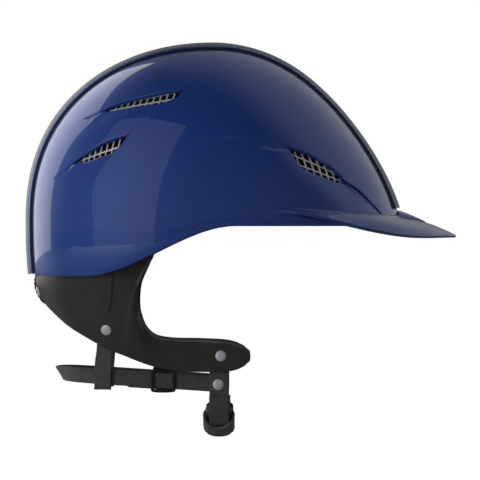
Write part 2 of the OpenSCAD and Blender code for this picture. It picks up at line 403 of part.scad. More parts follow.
module box3(x, y, z) translate([x[0], y[0], z[0]]) cube([x[1] - x[0], y[1] - y[0], z[1] - z[0]]);
module buckle_socket() color([0.04, 0.04, 0.04]) at_buckle() difference() {
  hull() { for (s = [-1, 1]) { translate([s * 6.4, 0, -6]) scale([1, 2.4, 1]) cylinder(r = 1.4, h = 8, $fn = 40);
    translate([s * 6.4, 0, 2]) scale([1, 2, 1]) cylinder(r = 1.4, h = 6.4, $fn = 40); } }
  box3([-6.4, 6.4], [-2.1, 2.1], [-7, 3.9]);
  box3([-12, 12], [-2.1, 2.1], [-7, 3.9]);
  difference() { box3([-6.6, 6.6], [-3.2, 3.2], [4.5, 9.1]); translate([-7, 0, 7]) rotate([0, 90, 0]) cylinder(r = 0.94, h = 14, $fn = 40); }
}
module prong() { box3([2.6, 6.1], [-1.8, 1.8], [-6.6, 3.7]);
  hull() { box3([6, 9.9], [-1.8, 1.8], [-3.6, 1.4]); box3([6, 7.4], [-1.8, 1.8], [-3.6, 3.6]); } }
module buckle_plug() color([0.04, 0.04, 0.04]) at_buckle() union() {
  difference() {
    hull() for (s = [-1, 1]) { translate([s * 7.2, 0, -18]) scale([1, 1.8, 1]) cylinder(r = 1.7, h = 4, $fn = 40); translate([s * 7.2, 0, -10]) scale([1, 2, 1]) cylinder(r = 1.7, h = 3.6, $fn = 40); }
    difference() { box3([-7.3, 7.3], [-9, 9], [-18.6, -12.4]); translate([-8, 0, -15.8]) rotate([0, 90, 0]) cylinder(r = 1.3, h = 16, $fn = 40); }
  }
  prong(); mirror([1, 0, 0]) prong();
}
// chin pad: a soft inner pad and a sleeve sewn round the strap
function sling_n(u) = let (a = sling(min(1, u + 0.004)) - sling(max(0, u - 0.004))) [a[1], -a[0]] / norm(a);
function on_sling(u, x, d) = let (p = sling(u), n = sling_n(u)) [0.75 + x, p[0] + n[0] * d, p[1] + n[1] * d];
pad_u = [0.12, 0.85]; cover_u = [0.215, 0.83];
module chin_pad() color([0.2, 0.2, 0.21]) sheet([for (i = [0:20]) let (u = mix(pad_u[0], pad_u[1], i / 20), w = 11.1 * pow(max(0.12, 1 - pow(abs(i / 10 - 1), 9)), 0.5))
  [for (j = [0:6]) let (x = w * (j / 3 - 1)) on_sling(u, x, 0)]], -5.4, -1.5);
cover_c = [[-10.3, -1], [-10.3, 0.8], [-8.6, 2.1], [-4, 2.4], [0, 2.5], [4, 2.4], [8.6, 2.1], [10.3, 0.8], [10.3, -1]];
module chin_pad_cover() color([0.25, 0.25, 0.26]) sheet([for (i = [0:18]) [for (j = [0:8]) let (c = cover_c[j],
    u0 = cover_u[0] + 0.07 * (1 - pow(c[0] / 10.3, 2))) on_sling(mix(u0, cover_u[1], i / 18), c[0], c[1])]], -0.75, 0.75);

outer_shell();
peak();
centre_band();
band_rail_left();
band_rail_right();
front_grille_left();
front_grille_right();
upper_grille_left();
upper_grille_right();
lower_grille_left();
lower_grille_right();
impact_liner();
headband_pad();
crown_pad();
pad_tabs();
harness_panel_left();
harness_panel_right();
anchor_tongue_left();
anchor_tongue_right();
harness_anchors();
nape_bridge();
nape_rivets();
rear_rivets();
jaw_rivets();
drop_strap_left();
drop_strap_right();
neck_strap();
slider_left();
slider_right();
strap_tail_left();
strap_tail_right();
chin_rivets();
chin_strap_upper();
chin_strap_left();
chin_strap_lower();
buckle_socket();
buckle_plug();
chin_pad();
chin_pad_cover();
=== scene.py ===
import math
import bpy
import bmesh
import numpy as np
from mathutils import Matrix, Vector


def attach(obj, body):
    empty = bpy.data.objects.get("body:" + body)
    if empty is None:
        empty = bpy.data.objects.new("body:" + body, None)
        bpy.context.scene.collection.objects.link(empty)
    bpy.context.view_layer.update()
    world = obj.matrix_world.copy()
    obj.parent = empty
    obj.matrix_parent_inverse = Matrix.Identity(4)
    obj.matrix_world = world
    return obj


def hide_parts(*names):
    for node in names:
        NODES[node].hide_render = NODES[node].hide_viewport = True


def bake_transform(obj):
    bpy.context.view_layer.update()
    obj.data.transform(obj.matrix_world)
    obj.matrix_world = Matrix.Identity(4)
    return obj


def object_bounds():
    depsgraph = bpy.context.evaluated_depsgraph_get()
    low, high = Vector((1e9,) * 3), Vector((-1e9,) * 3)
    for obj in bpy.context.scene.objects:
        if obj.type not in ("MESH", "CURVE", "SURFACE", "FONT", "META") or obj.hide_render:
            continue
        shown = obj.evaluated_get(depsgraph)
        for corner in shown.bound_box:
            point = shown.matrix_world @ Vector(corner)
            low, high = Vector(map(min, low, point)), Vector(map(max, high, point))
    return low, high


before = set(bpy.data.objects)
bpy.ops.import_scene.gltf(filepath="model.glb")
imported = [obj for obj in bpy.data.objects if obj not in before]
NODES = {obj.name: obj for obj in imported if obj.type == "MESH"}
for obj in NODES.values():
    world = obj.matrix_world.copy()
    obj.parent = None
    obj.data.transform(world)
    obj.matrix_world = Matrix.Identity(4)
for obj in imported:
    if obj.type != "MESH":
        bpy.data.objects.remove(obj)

CAD_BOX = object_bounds()
MM = 0.001
SIDES = ((-1, "right"), (1, "left"))

# ---------------------------------------------------------------- dimensions
CROWN_H, REAR_LEN, FRONT_LEN, HALF_W = 132.2, 135.5, 137.4, 108.0
PLAN_N, HEIGHT_N, MID_X = 2.25, 0.9, -3.0
RIM_DROP = 36.2
BAND_RISE, BAND_W, RAIL_W = 2.4, 23.0, 6.0
SHELL_T, LINER_T, PAD_T = 2.8, 23.0, 4.4
PEAK_REACH, PEAK_T = 171.4, 3.4
PANEL_T, JAW_Y, WEB_T = 2.0, 70.0, 1.3
CHIN_W, NECK_W, DROP_W = 14.0, 11.0, 12.0
SHANK_R = 1.6
SHELL_IN = BAND_RISE + SHELL_T
FOAM_OUT = SHELL_IN + 0.75
FOAM_IN = FOAM_OUT + LINER_T
PAD_OUT = FOAM_IN + 2.4
FOAM_UP = 11.0
JAW_PIN = (2.1, -92.6)
CHIN_PIN = (0.3, -113.0)
FOLD = (-65.4, -121.0)
CHIN_Y = JAW_Y - PANEL_T - 0.4
NECK_Y = CHIN_Y - WEB_T - 0.4


# ------------------------------------------------------------------- helpers
def ramp(v, a, b):
    q = np.clip((v - a) / (b - a), 0, 1)
    return q * q * (3 - 2 * q)


def mix(a, b, q):
    return a + (b - a) * q


def unit(v):
    v = np.asarray(v, float)
    return v / np.maximum(np.linalg.norm(v, axis=-1, keepdims=True), 1e-9)


def mirror(P, side):
    """Points made for the right side, moved to the side asked for."""
    return np.asarray(P, float) * [1, -side, 1]


def run_of(P):
    """Distance along a line of points, at each of them."""
    return np.concatenate([[0], np.cumsum(np.linalg.norm(np.diff(P, axis=0), axis=1))])


def flow(points, u):
    """Smooth curve through a few points, u from 0 to 1 over its whole length."""
    C = np.asarray(points, float)
    n = len(C) - 1
    s = np.clip(np.asarray(u, float) * n, 0, n - 1e-6)
    i = np.floor(s).astype(int)
    q = (s - i)[..., None]
    a, b = C[np.maximum(0, i - 1)], C[i]
    c, d = C[i + 1], C[np.minimum(n, i + 2)]
    return 0.5 * (2 * b + (c - a) * q + (2 * a - 5 * b + 4 * c - d) * q ** 2
                  + (3 * b - 3 * c + d - a) * q ** 3)


def smooth(points, at):
    """Smooth height over azimuth through (azimuth, height) points."""
    x, y = np.array(points, float).T
    d = np.gradient(y, x)
    i = np.clip(np.searchsorted(x, at) - 1, 0, len(x) - 2)
    h = x[i + 1] - x[i]
    q = np.clip((at - x[i]) / h, 0, 1)
    return ((2 * q ** 3 - 3 * q ** 2 + 1) * y[i] + (q ** 3 - 2 * q ** 2 + q) * h * d[i]
            + (3 * q ** 2 - 2 * q ** 3) * y[i + 1] + (q ** 3 - q ** 2) * h * d[i + 1])


def steps(points, at):
    """Straight-line height over azimuth through (azimuth, height) points."""
    x, y = np.array(points, float).T
    return np.interp(at, x, y)


class Skin:
    """Points in rows and the faces between them, made into one object."""

    def __init__(self):
        self.points, self.faces, self.uvs, self.looks = [], [], [], []

    def rows(self, P):
        P = np.asarray(P, float)
        first = len(self.points)
        self.points.extend(map(tuple, P.reshape(-1, 3)))
        return first + np.arange(P.shape[0] * P.shape[1]).reshape(P.shape[:2])

    def face(self, corners, uv=None):
        if len(set(corners)) < 3:
            return
        self.faces.append([int(c) for c in corners])
        self.uvs.append(uv or [(0.0, 0.0)] * len(corners))
        self.looks.append(0)

    def cover(self, I, U=None, wrap=False, keep=None):
        """Faces between neighbouring rows; keep leaves out the ones that are False."""
        n, m = I.shape
        for i in range(n - 1):
            for j in range(m if wrap else m - 1):
                if keep is not None and not keep[i, j]:
                    continue
                k = (j + 1) % m
                uv = None if U is None else [U[i][j], U[i][j + 1], U[i + 1][j + 1], U[i + 1][j]]
                self.face([I[i, j], I[i, k], I[i + 1, k], I[i + 1, j]], uv)

    def fan(self, ring, point):
        P = self.rows([[point]])[0, 0]
        for j in range(len(ring)):
            self.face([ring[j], ring[(j + 1) % len(ring)], P])

    def tube(self, rings, U=None, closed=False):
        """Closed cross-sections joined in order; the ends get caps unless it is a hoop."""
        R = np.asarray(rings, float)
        I = self.rows(R)
        if closed:
            I = np.vstack([I, I[:1]])
        self.cover(I, U, wrap=True)
        if not closed:
            self.fan(I[0], R[0].mean(0))
            self.fan(I[-1], R[-1].mean(0))

    def slab(self, top, under):
        """Two matching sheets closed all round their edges."""
        A, B = self.rows(top), self.rows(under)
        self.cover(A)
        self.cover(B)
        for X, Y in ((A[0], B[0]), (A[-1], B[-1]), (A[:, 0], B[:, 0]), (A[:, -1], B[:, -1])):
            self.cover(np.stack([X, Y]))

    def build(self, name, looks, body, slot, sharp=38, replaces=()):
        me = bpy.data.meshes.new(name)
        me.from_pydata([(x * MM, y * MM, z * MM) for x, y, z in self.points], [], self.faces)
        layer = me.uv_layers.new(name="weave")
        layer.data.foreach_set("uv", [c for uv in self.uvs for p in uv for c in p])
        me.polygons.foreach_set("material_index", self.looks)
        for look in looks:
            me.materials.append(look)
        bm = bmesh.new()
        bm.from_mesh(me)
        bmesh.ops.remove_doubles(bm, verts=bm.verts, dist=1e-7)
        bmesh.ops.recalc_face_normals(bm, faces=bm.faces)
        bm.to_mesh(me)
        bm.free()
        me.shade_smooth()
        me.set_sharp_from_angle(angle=math.radians(sharp))
        obj = bpy.data.objects.new(name, me)
        bpy.context.collection.objects.link(obj)
        if body:
            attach(obj, body)
        if replaces:
            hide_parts(*replaces)
        return obj


# ----------------------------------------------------------------- materials
class Tree:
    """Short names for making the nodes of one node tree."""

    def __init__(self, tree):
        self.tree = tree

    def node(self, kind, **settings):
        n = self.tree.nodes.new("ShaderNode" + kind)
        for key, value in settings.items():
            if key in n.inputs:
                n.inputs[key].default_value = value
            else:
                setattr(n, key, value)
        return n

    def link(self, a, b):
        self.tree.links.new(a, b)

    def math(self, op, a, b=None):
        n = self.node("Math", operation=op)
        for socket, v in zip(n.inputs, (a, b)):
            if isinstance(v, (int, float)):
                socket.default_value = v
            elif v is not None:
                self.link(v, socket)
        return n.outputs[0]

    def ranged(self, source, from_min, from_max, to_min, to_max, shape="LINEAR"):
        """Source moved from one range into another."""
        n = self.node("MapRange", interpolation_type=shape)
        limits = (("From Min", from_min), ("From Max", from_max), ("To Min", to_min), ("To Max", to_max))
        for key, value in limits:
            n.inputs[key].default_value = value
        self.link(source, n.inputs["Value"])
        return n.outputs["Result"]


class Look(Tree):
    """A node material built round one Principled shader."""

    def __init__(self, name, **values):
        self.mat = bpy.data.materials.new(name)
        self.mat.use_nodes = True
        super().__init__(self.mat.node_tree)
        self.shader = self.tree.nodes["Principled BSDF"]
        for key, value in values.items():
            self.shader.inputs[key.replace("_", " ")].default_value = value

    def place(self):
        """Object coordinates: the CAD frame, in metres."""
        return self.node("TexCoord").outputs["Object"]

    def uv(self):
        """Millimetres along and across the piece."""
        n = self.node("UVMap", uv_map="weave")
        s = self.node("SeparateXYZ")
        self.link(n.outputs["UV"], s.inputs[0])
        return s.outputs["X"], s.outputs["Y"]

    def noise(self, size, detail=3.0, stretch=None):
        """Noise whose features are about size millimetres across."""
        n = self.node("TexNoise", Scale=1 / (size * MM), Detail=detail)
        where = self.place()
        if stretch:
            m = self.node("Mapping")
            m.inputs["Scale"].default_value = stretch
            self.link(where, m.inputs["Vector"])
            where = m.outputs["Vector"]
        self.link(where, n.inputs["Vector"])
        return n.outputs["Fac"]

    def cells(self, size):
        """Distance from the middles of cells about size millimetres across."""
        n = self.node("TexVoronoi", Scale=1 / (size * MM))
        self.link(self.place(), n.inputs["Vector"])
        return n.outputs["Distance"]

    def colour(self, fac, *stops):
        """Base colour from (place, colour) stops along fac; a colour is (r, g, b) or one grey."""
        n = self.node("ValToRGB")
        while len(n.color_ramp.elements) < len(stops):
            n.color_ramp.elements.new(0.5)
        for e, (at, c) in zip(n.color_ramp.elements, stops):
            e.position = at
            e.color = (*c, 1) if hasattr(c, "__len__") else (c, c, c, 1)
        self.link(fac, n.inputs["Fac"])
        self.link(n.outputs["Color"], self.shader.inputs["Base Color"])

    def rough(self, fac, low, high):
        self.link(self.ranged(fac, 0, 1, low, high), self.shader.inputs["Roughness"])

    def bump(self, height, depth, strength):
        """Relief of the given depth in millimetres; more calls stack."""
        n = self.node("Bump", Distance=depth * MM, Strength=strength)
        self.link(height, n.inputs["Height"])
        old = self.shader.inputs["Normal"]
        if old.links:
            self.link(old.links[0].from_socket, n.inputs["Normal"])
        self.link(n.outputs["Normal"], old)


def paint(name, dark, light):
    """Metallic lacquer: fine flakes in the base and a clear coat over it."""
    k = Look(name, Metallic=0.25, Coat_Weight=1.0, Coat_Roughness=0.025, Coat_IOR=1.5,
             Specular_IOR_Level=0.5)
    k.colour(k.noise(0.35, 2), (0.3, dark), (0.55, mix(np.array(dark), np.array(light), 0.5)),
             (0.75, light))
    k.rough(k.noise(9, 2), 0.4, 0.48)
    k.bump(k.noise(0.5, 1), 0.004, 0.25)
    return k.mat


def band_skin():
    """Grey technical skin of the centre band: fine ribs across it and a soft mottle."""
    k = Look("band_skin", Metallic=0.25, Specular_IOR_Level=0.5)
    u, _ = k.uv()
    ribs = k.math("SINE", k.math("MULTIPLY", u, 2 * math.pi / 1.7))
    pits = k.cells(1.3)
    mottle = k.math("ADD", k.noise(2.2, 4), k.math("MULTIPLY", pits, 0.25))
    k.colour(mottle, (0.35, (0.19, 0.19, 0.2)), (0.6, (0.27, 0.27, 0.28)), (0.85, (0.36, 0.36, 0.37)))
    k.rough(k.noise(3, 3), 0.34, 0.55)
    k.bump(ribs, 0.05, 0.5)
    k.bump(pits, 0.12, 0.6)
    return k.mat


def steel(name, tint, low, high, brush):
    k = Look(name, Metallic=0.25)
    k.colour(k.noise(4, 3), (0.3, [c * 0.86 for c in tint]), (0.7, tint))
    k.rough(k.noise(1.2, 4), low, high)
    k.bump(k.noise(brush, 2, (1, 1, 8)), 0.006, 0.4)
    return k.mat


def leather(name, dark, light, low=0.32, high=0.5, grain=0.9):
    """Split leather: pebbled grain, pores and faint colour drift."""
    k = Look(name, Specular_IOR_Level=0.42)
    k.colour(k.noise(14, 4), (0.3, dark), (0.75, light))
    pebble = k.cells(grain)
    k.rough(k.noise(3, 3), low, high)
    k.bump(pebble, 0.07, 0.55)
    k.bump(k.noise(0.35, 3), 0.03, 0.5)
    return k.mat


def webbing(name, dark, light):
    """Narrow woven strap: a herringbone of ribs with a firm selvedge."""
    k = Look(name, Specular_IOR_Level=0.35, Sheen_Weight=0.25, Sheen_Roughness=0.45)
    u, v = k.uv()
    zig = k.math("PINGPONG", v, 1.75)
    twill = k.math("SINE", k.math("MULTIPLY", k.math("ADD", u, zig), 2 * math.pi / 1.1))
    yarn = k.math("SINE", k.math("MULTIPLY", v, 2 * math.pi / 0.55))
    weave = k.math("ADD", twill, k.math("MULTIPLY", yarn, 0.45))
    drift = k.math("ADD", k.math("MULTIPLY", weave, 0.12), k.noise(5, 4))
    k.colour(drift, (0.25, dark), (0.75, light))
    k.rough(k.noise(2, 3), 0.6, 0.82)
    k.bump(weave, 0.11, 0.7)
    k.bump(k.noise(0.25, 2), 0.03, 0.5)
    return k.mat


def plastic(name, base, low=0.3, high=0.42):
    """Moulded acetal with a light spark-eroded texture; also the near-black painted shade in the rails'
    grooves.
    """
    k = Look(name, Specular_IOR_Level=0.5)
    k.colour(k.noise(6, 3), (0.3, [c * 0.8 for c in base]), (0.7, [c * 1.2 for c in base]))
    k.rough(k.noise(2, 4), low, high)
    k.bump(k.noise(0.3, 2), 0.012, 0.6)
    return k.mat


def foam():
    """Expanded polystyrene: fused beads."""
    k = Look("foam", Specular_IOR_Level=0.3)
    beads = k.cells(2.6)
    k.colour(beads, (0.1, (0.022, 0.022, 0.024)), (0.7, (0.009, 0.009, 0.01)))
    k.rough(k.noise(2, 2), 0.6, 0.8)
    k.bump(beads, -0.35, 0.8)
    return k.mat


def cloth(name, dark, light, cell=1.5):
    """Brushed spacer-knit over foam."""
    k = Look(name, Specular_IOR_Level=0.2, Sheen_Weight=0.5, Sheen_Roughness=0.4)
    knit = k.cells(cell)
    k.colour(k.math("ADD", k.math("MULTIPLY", knit, 0.6), k.math("MULTIPLY", k.noise(12, 4), 0.5)),
             (0.2, dark), (0.75, light))
    k.rough(k.noise(4, 3), 0.75, 0.95)
    k.bump(knit, -0.25, 0.8)
    k.bump(k.noise(0.2, 2), 0.04, 0.6)
    return k.mat


PAINT = paint("shell_paint", (0.012, 0.058, 0.33), (0.020, 0.092, 0.50))
RAIL = paint("rail_paint", (0.014, 0.07, 0.36), (0.024, 0.11, 0.52))
BAND = band_skin()
CHROME = steel("chrome", (0.9, 0.9, 0.92), 0.16, 0.28, 0.8)
SATIN = steel("satin_steel", (0.86, 0.85, 0.92), 0.26, 0.38, 0.5)
HIDE = leather("harness_leather", (0.042, 0.041, 0.038), (0.056, 0.055, 0.051))
LINING = leather("harness_lining", (0.12, 0.12, 0.125), (0.18, 0.18, 0.185), 0.5, 0.7, 1.3)
TONGUE = leather("tongue_leather", (0.044, 0.043, 0.040), (0.058, 0.057, 0.053))
PAD_HIDE = leather("chin_pad_leather", (0.045, 0.045, 0.047), (0.065, 0.065, 0.068), 0.5, 0.66, 0.8)
# painted light: the sleeve takes a copy of the cushion's leather made about three times lighter, standing in
# for light falling on its outer wall
LIT_COVER_HIDE = leather("chin_cover_painted_lit_leather", (0.13, 0.132, 0.138), (0.19, 0.192, 0.2), 0.45, 0.6, 0.8)
WEB = webbing("webbing", (0.085, 0.088, 0.088), (0.125, 0.128, 0.128))
# painted shade: a near-black look laid on the rails' groove and outer flank, standing in for the shade in the
# groove and where the rail meets the shell
GROOVE_SHADE = plastic("painted_groove_shade", (0.004, 0.005, 0.010), 0.5, 0.65)
PLASTIC = plastic("buckle_plastic", (0.012, 0.012, 0.0125))
FOAM = foam()
KNIT = cloth("comfort_knit", (0.010, 0.010, 0.012), (0.022, 0.022, 0.026))
BINDING = cloth("pad_binding", (0.03, 0.03, 0.034), (0.05, 0.05, 0.056), 0.6)
THREAD = webbing("thread", (0.09, 0.09, 0.09), (0.15, 0.15, 0.15))
HOOK = cloth("hook_tape", (0.006, 0.006, 0.006), (0.014, 0.014, 0.014), 0.7)


# ---------------------------------------------------------- helmet's surface
def spans(e, t):
    """Front, rear and half width of the level section at height angle e (radians), t under
    the band's top."""
    k = np.where(e < 0, np.cos(0.7 * e), np.cos(e))
    b = np.where(e < 0, 0, np.sin(2 * e))
    return ((FRONT_LEN - t) * k ** 1.12 * (1 - 0.138 * b), (REAR_LEN - t) * k ** 0.94 * (1 + 0.013 * b),
            (HALF_W - t) * k ** 0.92)


def height_angle(z, t):
    """Height angle (radians) of the point at height z on the surface at depth t."""
    return np.sign(z) * np.arcsin(np.clip(np.abs(z) / (CROWN_H - t), 0, 1) ** (1 / HEIGHT_N))


def helm(e, a, t):
    """Point at height angle e and azimuth a (degrees, 0 is the front), t under the band's top."""
    e, a = np.radians(e), np.radians(a)
    front, rear, wide = spans(e, t)
    ca, sa, se = np.cos(a), np.sin(a), np.sin(e)
    x = MID_X + np.where(ca > 0, front, rear) * np.sign(ca) * np.abs(ca) ** (2 / PLAN_N)
    y = wide * np.sign(sa) * np.abs(sa) ** (2 / PLAN_N)
    z = (CROWN_H - t) * np.sign(se) * np.abs(se) ** HEIGHT_N
    return np.stack(np.broadcast_arrays(x, y, z), -1)


def rim_e(a, t, up=0.0):
    """Height angle of the rim, lifted by up, at azimuth a."""
    x = helm(0.0 * a, a, t)[..., 0]
    z = up - RIM_DROP * (1 - ramp(x, -97, 13)) + 1.4 * (1 - ramp(x, -136, -118))
    return np.degrees(height_angle(z, t))


# Two creases run round each side; a raised panel overhangs the one below it. Each
# is (azimuth, height angle), azimuth counted from the front on either side.
LOW_CREASE = [(0, 1.6), (15, 1.6), (26, 2.2), (29.5, 4.2), (33.2, 6.6), (37.2, 9.4), (40.2, 10.9),
              (43.3, 12.3), (45.2, 14.5), (48.7, 17.0), (52.4, 18.9), (56.1, 20.6), (59.9, 21.9),
              (63.4, 22.9), (66.9, 24.3), (74.5, 25.9), (82, 26.7), (88, 26.5), (93, 25.9), (99, 25.6),
              (104, 28.5), (108.5, 33.5), (111.8, 34.6), (114.9, 31.0), (118.1, 27.4), (120, 26.9),
              (123.8, 25.8), (127.6, 24.4), (131.5, 22.4), (135.6, 20.2), (139.3, 17.8), (144.6, 15.0),
              (150.6, 13.0), (165, 9.5), (180, 9)]
HIGH_CREASE = [(0, 66), (60, 64), (80, 61), (88, 58), (92.9, 53.8), (96.9, 49.9), (100.9, 46.6),
               (105.9, 45.8), (110, 45.1), (114.1, 44.1), (118.2, 43.1), (122.5, 42.0), (126.7, 40.7),
               (130.9, 39.0), (134.2, 37.1), (140.2, 34.7), (145.5, 33.2), (160, 30), (180, 28)]
# lower edges of the vents, whose top edges are the creases
FRONT_VENT = [(43.3, 12.2), (46.6, 11.9), (50.8, 12.9), (54.7, 14.0), (59.1, 15.5), (60.8, 16.6),
              (61.8, 18.2), (62.7, 20.2), (63.4, 22.8)]
LOWER_VENT = [(118.1, 27.3), (119.4, 24.6), (121.5, 22.4), (123.2, 21.1), (126.3, 20.3), (130.4, 19.2),
              (134.8, 18.2), (139.3, 17.7)]
UPPER_VENT = [(100.9, 46.5), (101.8, 44.3), (103.1, 42.9), (105.5, 41.5), (108.3, 40.2), (112.2, 39.7),
              (116.4, 39.3), (120.6, 38.8), (125, 38.1), (129.5, 37.3), (134.2, 37.0)]
# depth of the step under each crease over azimuth
LOW_STEP = [(18, 0), (24, 0.4), (30, 1.0), (36, 1.6), (43.3, 2.1), (52, 2.4), (60, 2.1), (64, 1.3),
            (68, 0.6), (75, 0.3), (85, 0.2), (93, 0.1), (99, 0), (111.8, 0), (113, 0.08), (116, 0.16),
            (118.1, 0.5), (121, 1.2), (126, 1.7), (134, 1.6), (138, 0.9), (140, 0.35), (145, 0.12),
            (151, 0)]
HIGH_STEP = [(92, 0), (94, 0.06), (98, 0.14), (100.9, 0.5), (104, 1.2), (110, 1.7), (122, 1.8),
             (130, 1.4), (133, 0.8), (135.5, 0.3), (141, 0.1), (146, 0)]
COLUMN_STEP = 1.25
COLUMN_KEYS = [0, 26, 37.2, 43.3, 46.6, 50.8, 54.7, 59.1, 60.8, 61.8, 62.7, 63.4, 82, 99, 100.9, 101.8, 103.1,
               105.5, 108.3, 111.8, 118.1, 119.4, 121.5, 123.2, 126.3, 134.2, 139.3, 180]


def columns():
    """Azimuths all the way round, with one on every corner of a vent."""
    half = [0.0]
    for a, b in zip(COLUMN_KEYS, COLUMN_KEYS[1:]):
        n = max(1, round((b - a) / COLUMN_STEP))
        half += list(a + (b - a) * np.arange(1, n + 1) / n)
    half = np.array(half)
    return np.concatenate([half, -half[-2:0:-1]])


def vent_edge(crease, vents, at):
    """Line just under a crease that drops away from it where there is a vent."""
    top = smooth(crease, at)
    away = np.min([np.minimum(abs(at - v[0][0]), abs(at - v[-1][0])) for v in vents], axis=0)
    edge = top - np.minimum(2.5, 0.14 + 0.4 * away)
    for v in vents:
        inside = (at >= v[0][0] - 1e-6) & (at <= v[-1][0] + 1e-6)
        edge = np.where(inside, np.minimum(steps(v, at), top - 0.14), edge)
    return edge


def dome(t_out, t_in, up, relief, soft=0.8):
    """Closed wall of the helmet between two depths, with the six vents cut through."""
    a = columns()
    at = np.abs(a)
    rim = rim_e(a, t_out, up)
    low, high = smooth(LOW_CREASE, at), smooth(HIGH_CREASE, at)
    low = np.maximum(low, rim + 1.2)
    low_v = np.maximum(vent_edge(LOW_CREASE, [FRONT_VENT, LOWER_VENT], at), rim + 0.8)
    high_v = vent_edge(HIGH_CREASE, [UPPER_VENT], at)
    step_l, step_h = steps(LOW_STEP, at) * relief, steps(HIGH_STEP, at) * relief
    E, T = [], []

    def under(e, crease, step, reach):
        return step * (1 - ramp(crease - e, 0, reach))

    def add(e, depth):
        E.append(e)
        T.append(t_out + depth)

    def fold(crease, vent, step, reach):
        """Rows from a vent's lower edge up over the crease; gives its first and last row."""
        add(vent, under(vent, crease, step, reach) + 0.35 * relief * (step > 0.3))
        first = len(E) - 1
        add(mix(vent, crease, 0.5), under(mix(vent, crease, 0.5), crease, step, reach))
        add(crease - np.minimum(0.1, 0.3 * (crease - vent)), step)
        add(crease, 0.35 * np.minimum(1, step))
        last = len(E) - 1
        for q, dip in ((0.12, 0.2), (0.3, 0.1), (0.7, 0.04), (1.2, 0.0)):
            add(crease + q, dip * np.minimum(1, step))
        return first, last

    reach = np.minimum(13, 0.92 * (low - rim))
    for q, dip in ((0, soft), (0.25, 0.3 * soft), (0.7, 0.05)):
        add(rim + q, dip + under(rim, low, step_l, reach))
    for q in np.linspace(0.06, 1, 17)[:-1]:
        e = mix(rim + 0.7, low_v, q)
        add(e, under(e, low, step_l, reach))
    add(low_v - 0.3 * (low_v > rim + 1.5), under(low_v, low, step_l, reach))
    first_l, last_l = fold(low, low_v, step_l, reach)
    for q in np.linspace(0, 1, 15)[1:-1]:
        e = mix(low + 1.2, high_v - 0.3, q)
        add(e, under(e, high, step_h, 9))
    add(high_v - 0.3, under(high_v - 0.3, high, step_h, 9))
    first_h, last_h = fold(high, high_v, step_h, 9)
    for q in np.linspace(0, 1, 22)[1:-1] ** 0.9:
        add(mix(high + 1.2, 88.5 + 0 * high, q), 0 * high)
    E, T = np.array(E), np.array(T)
    n, m = E.shape
    keep = np.ones((n - 1, m), bool)
    for j in range(m):
        past_rear = 360 if a[j] >= 180 - 1e-6 else 0
        c = abs(((a[j] + a[(j + 1) % m] + past_rear) / 2 + 180) % 360 - 180)
        for vent, lo, hi in ((FRONT_VENT, first_l, last_l), (LOWER_VENT, first_l, last_l),
                             (UPPER_VENT, first_h, last_h)):
            if vent[0][0] < c < vent[-1][0]:
                keep[lo:hi, j] = False
    s = Skin()
    O = s.rows(helm(E, a[None, :], T))
    E_in = E.copy()
    E_in[0] += 0.12
    T_in = np.full_like(E, t_in)
    T_in[0] -= 0.3 * soft
    I = s.rows(helm(E_in, a[None, :], T_in))
    s.cover(O, keep=keep, wrap=True)
    s.cover(I, keep=keep, wrap=True)
    s.fan(O[-1], helm(90.0, 0.0, t_out))
    s.fan(I[-1], helm(90.0, 0.0, t_in))
    for j in range(m):
        k = (j + 1) % m
        s.face([O[0, j], O[0, k], I[0, k], I[0, j]])
        for i in range(n - 1):
            if keep[i, j]:
                continue
            if keep[i - 1, j]:
                s.face([O[i, j], O[i, k], I[i, k], I[i, j]])
            if i + 1 < n - 1 and keep[i + 1, j]:
                s.face([O[i + 1, j], O[i + 1, k], I[i + 1, k], I[i + 1, j]])
            if keep[i, j - 1]:
                s.face([O[i, j], O[i + 1, j], I[i + 1, j], I[i, j]])
            if keep[i, k]:
                s.face([O[i, k], O[i + 1, k], I[i + 1, k], I[i, k]])
    return s


def make_shell():
    dome(BAND_RISE, SHELL_IN, 0, 1.0).build(
        "shell_skin", [PAINT], "helmet", "shell", 32, ["outer_shell"])
    dome(FOAM_OUT + 1.3, FOAM_IN, FOAM_UP, 0.3, soft=1.6).build(
        "foam_liner", [FOAM], "helmet", "foam", 40, ["impact_liner"])


# ------------------------------------------------------------ band and rails
BAND_REAR, BAND_FRONT = 194.6, 5.6


def outside(x, y, z, t):
    """Above 1 outside the helmet's surface at depth t."""
    front, rear, wide = spans(height_angle(z, t), t)
    long = np.where(x > 0, front, rear)
    inside = np.abs(x / np.maximum(0.01, long)) ** PLAN_N + np.abs(y / np.maximum(0.01, wide)) ** PLAN_N
    return np.where(z >= CROWN_H - t, 9, inside)


def over(y, u, t):
    """Point on the lengthwise line at y, u from the rear (0) over the crown to the front (1)."""
    y, u, t = np.broadcast_arrays(*(np.asarray(v, float) for v in (y, u, t)))
    th = np.radians(mix(BAND_REAR, BAND_FRONT, u))
    lo, hi = np.full(th.shape, 40.0), np.full(th.shape, 160.0)
    for _ in range(26):
        m = (lo + hi) / 2
        out = outside(m * np.cos(th), y, m * np.sin(th), t) > 1
        lo, hi = np.where(out, lo, m), np.where(out, m, hi)
    return np.stack([MID_X + lo * np.cos(th), y, lo * np.sin(th)], -1)


def ridge(name, profile, looks, slot, replaces, side=-1, n=190, dark=()):
    """A strip over the crown with the cross-section profile, (y, depth) points; the profile's
    segments numbered in dark take the second look."""
    y, t = np.array(profile, float).T
    u = np.linspace(0, 1, n)[:, None]
    P = mirror(over(y[None, :], u, t[None, :]), side)
    along = run_of(P[:, 0])
    U = [[(s, v) for v in np.append(y, y[0])] for s in along]
    s = Skin()
    s.tube(P, U)
    m = len(profile)
    for k in range((n - 1) * m):
        s.looks[k] = int(k % m in dark)
    s.build(name, looks, "helmet", slot, 30, replaces)


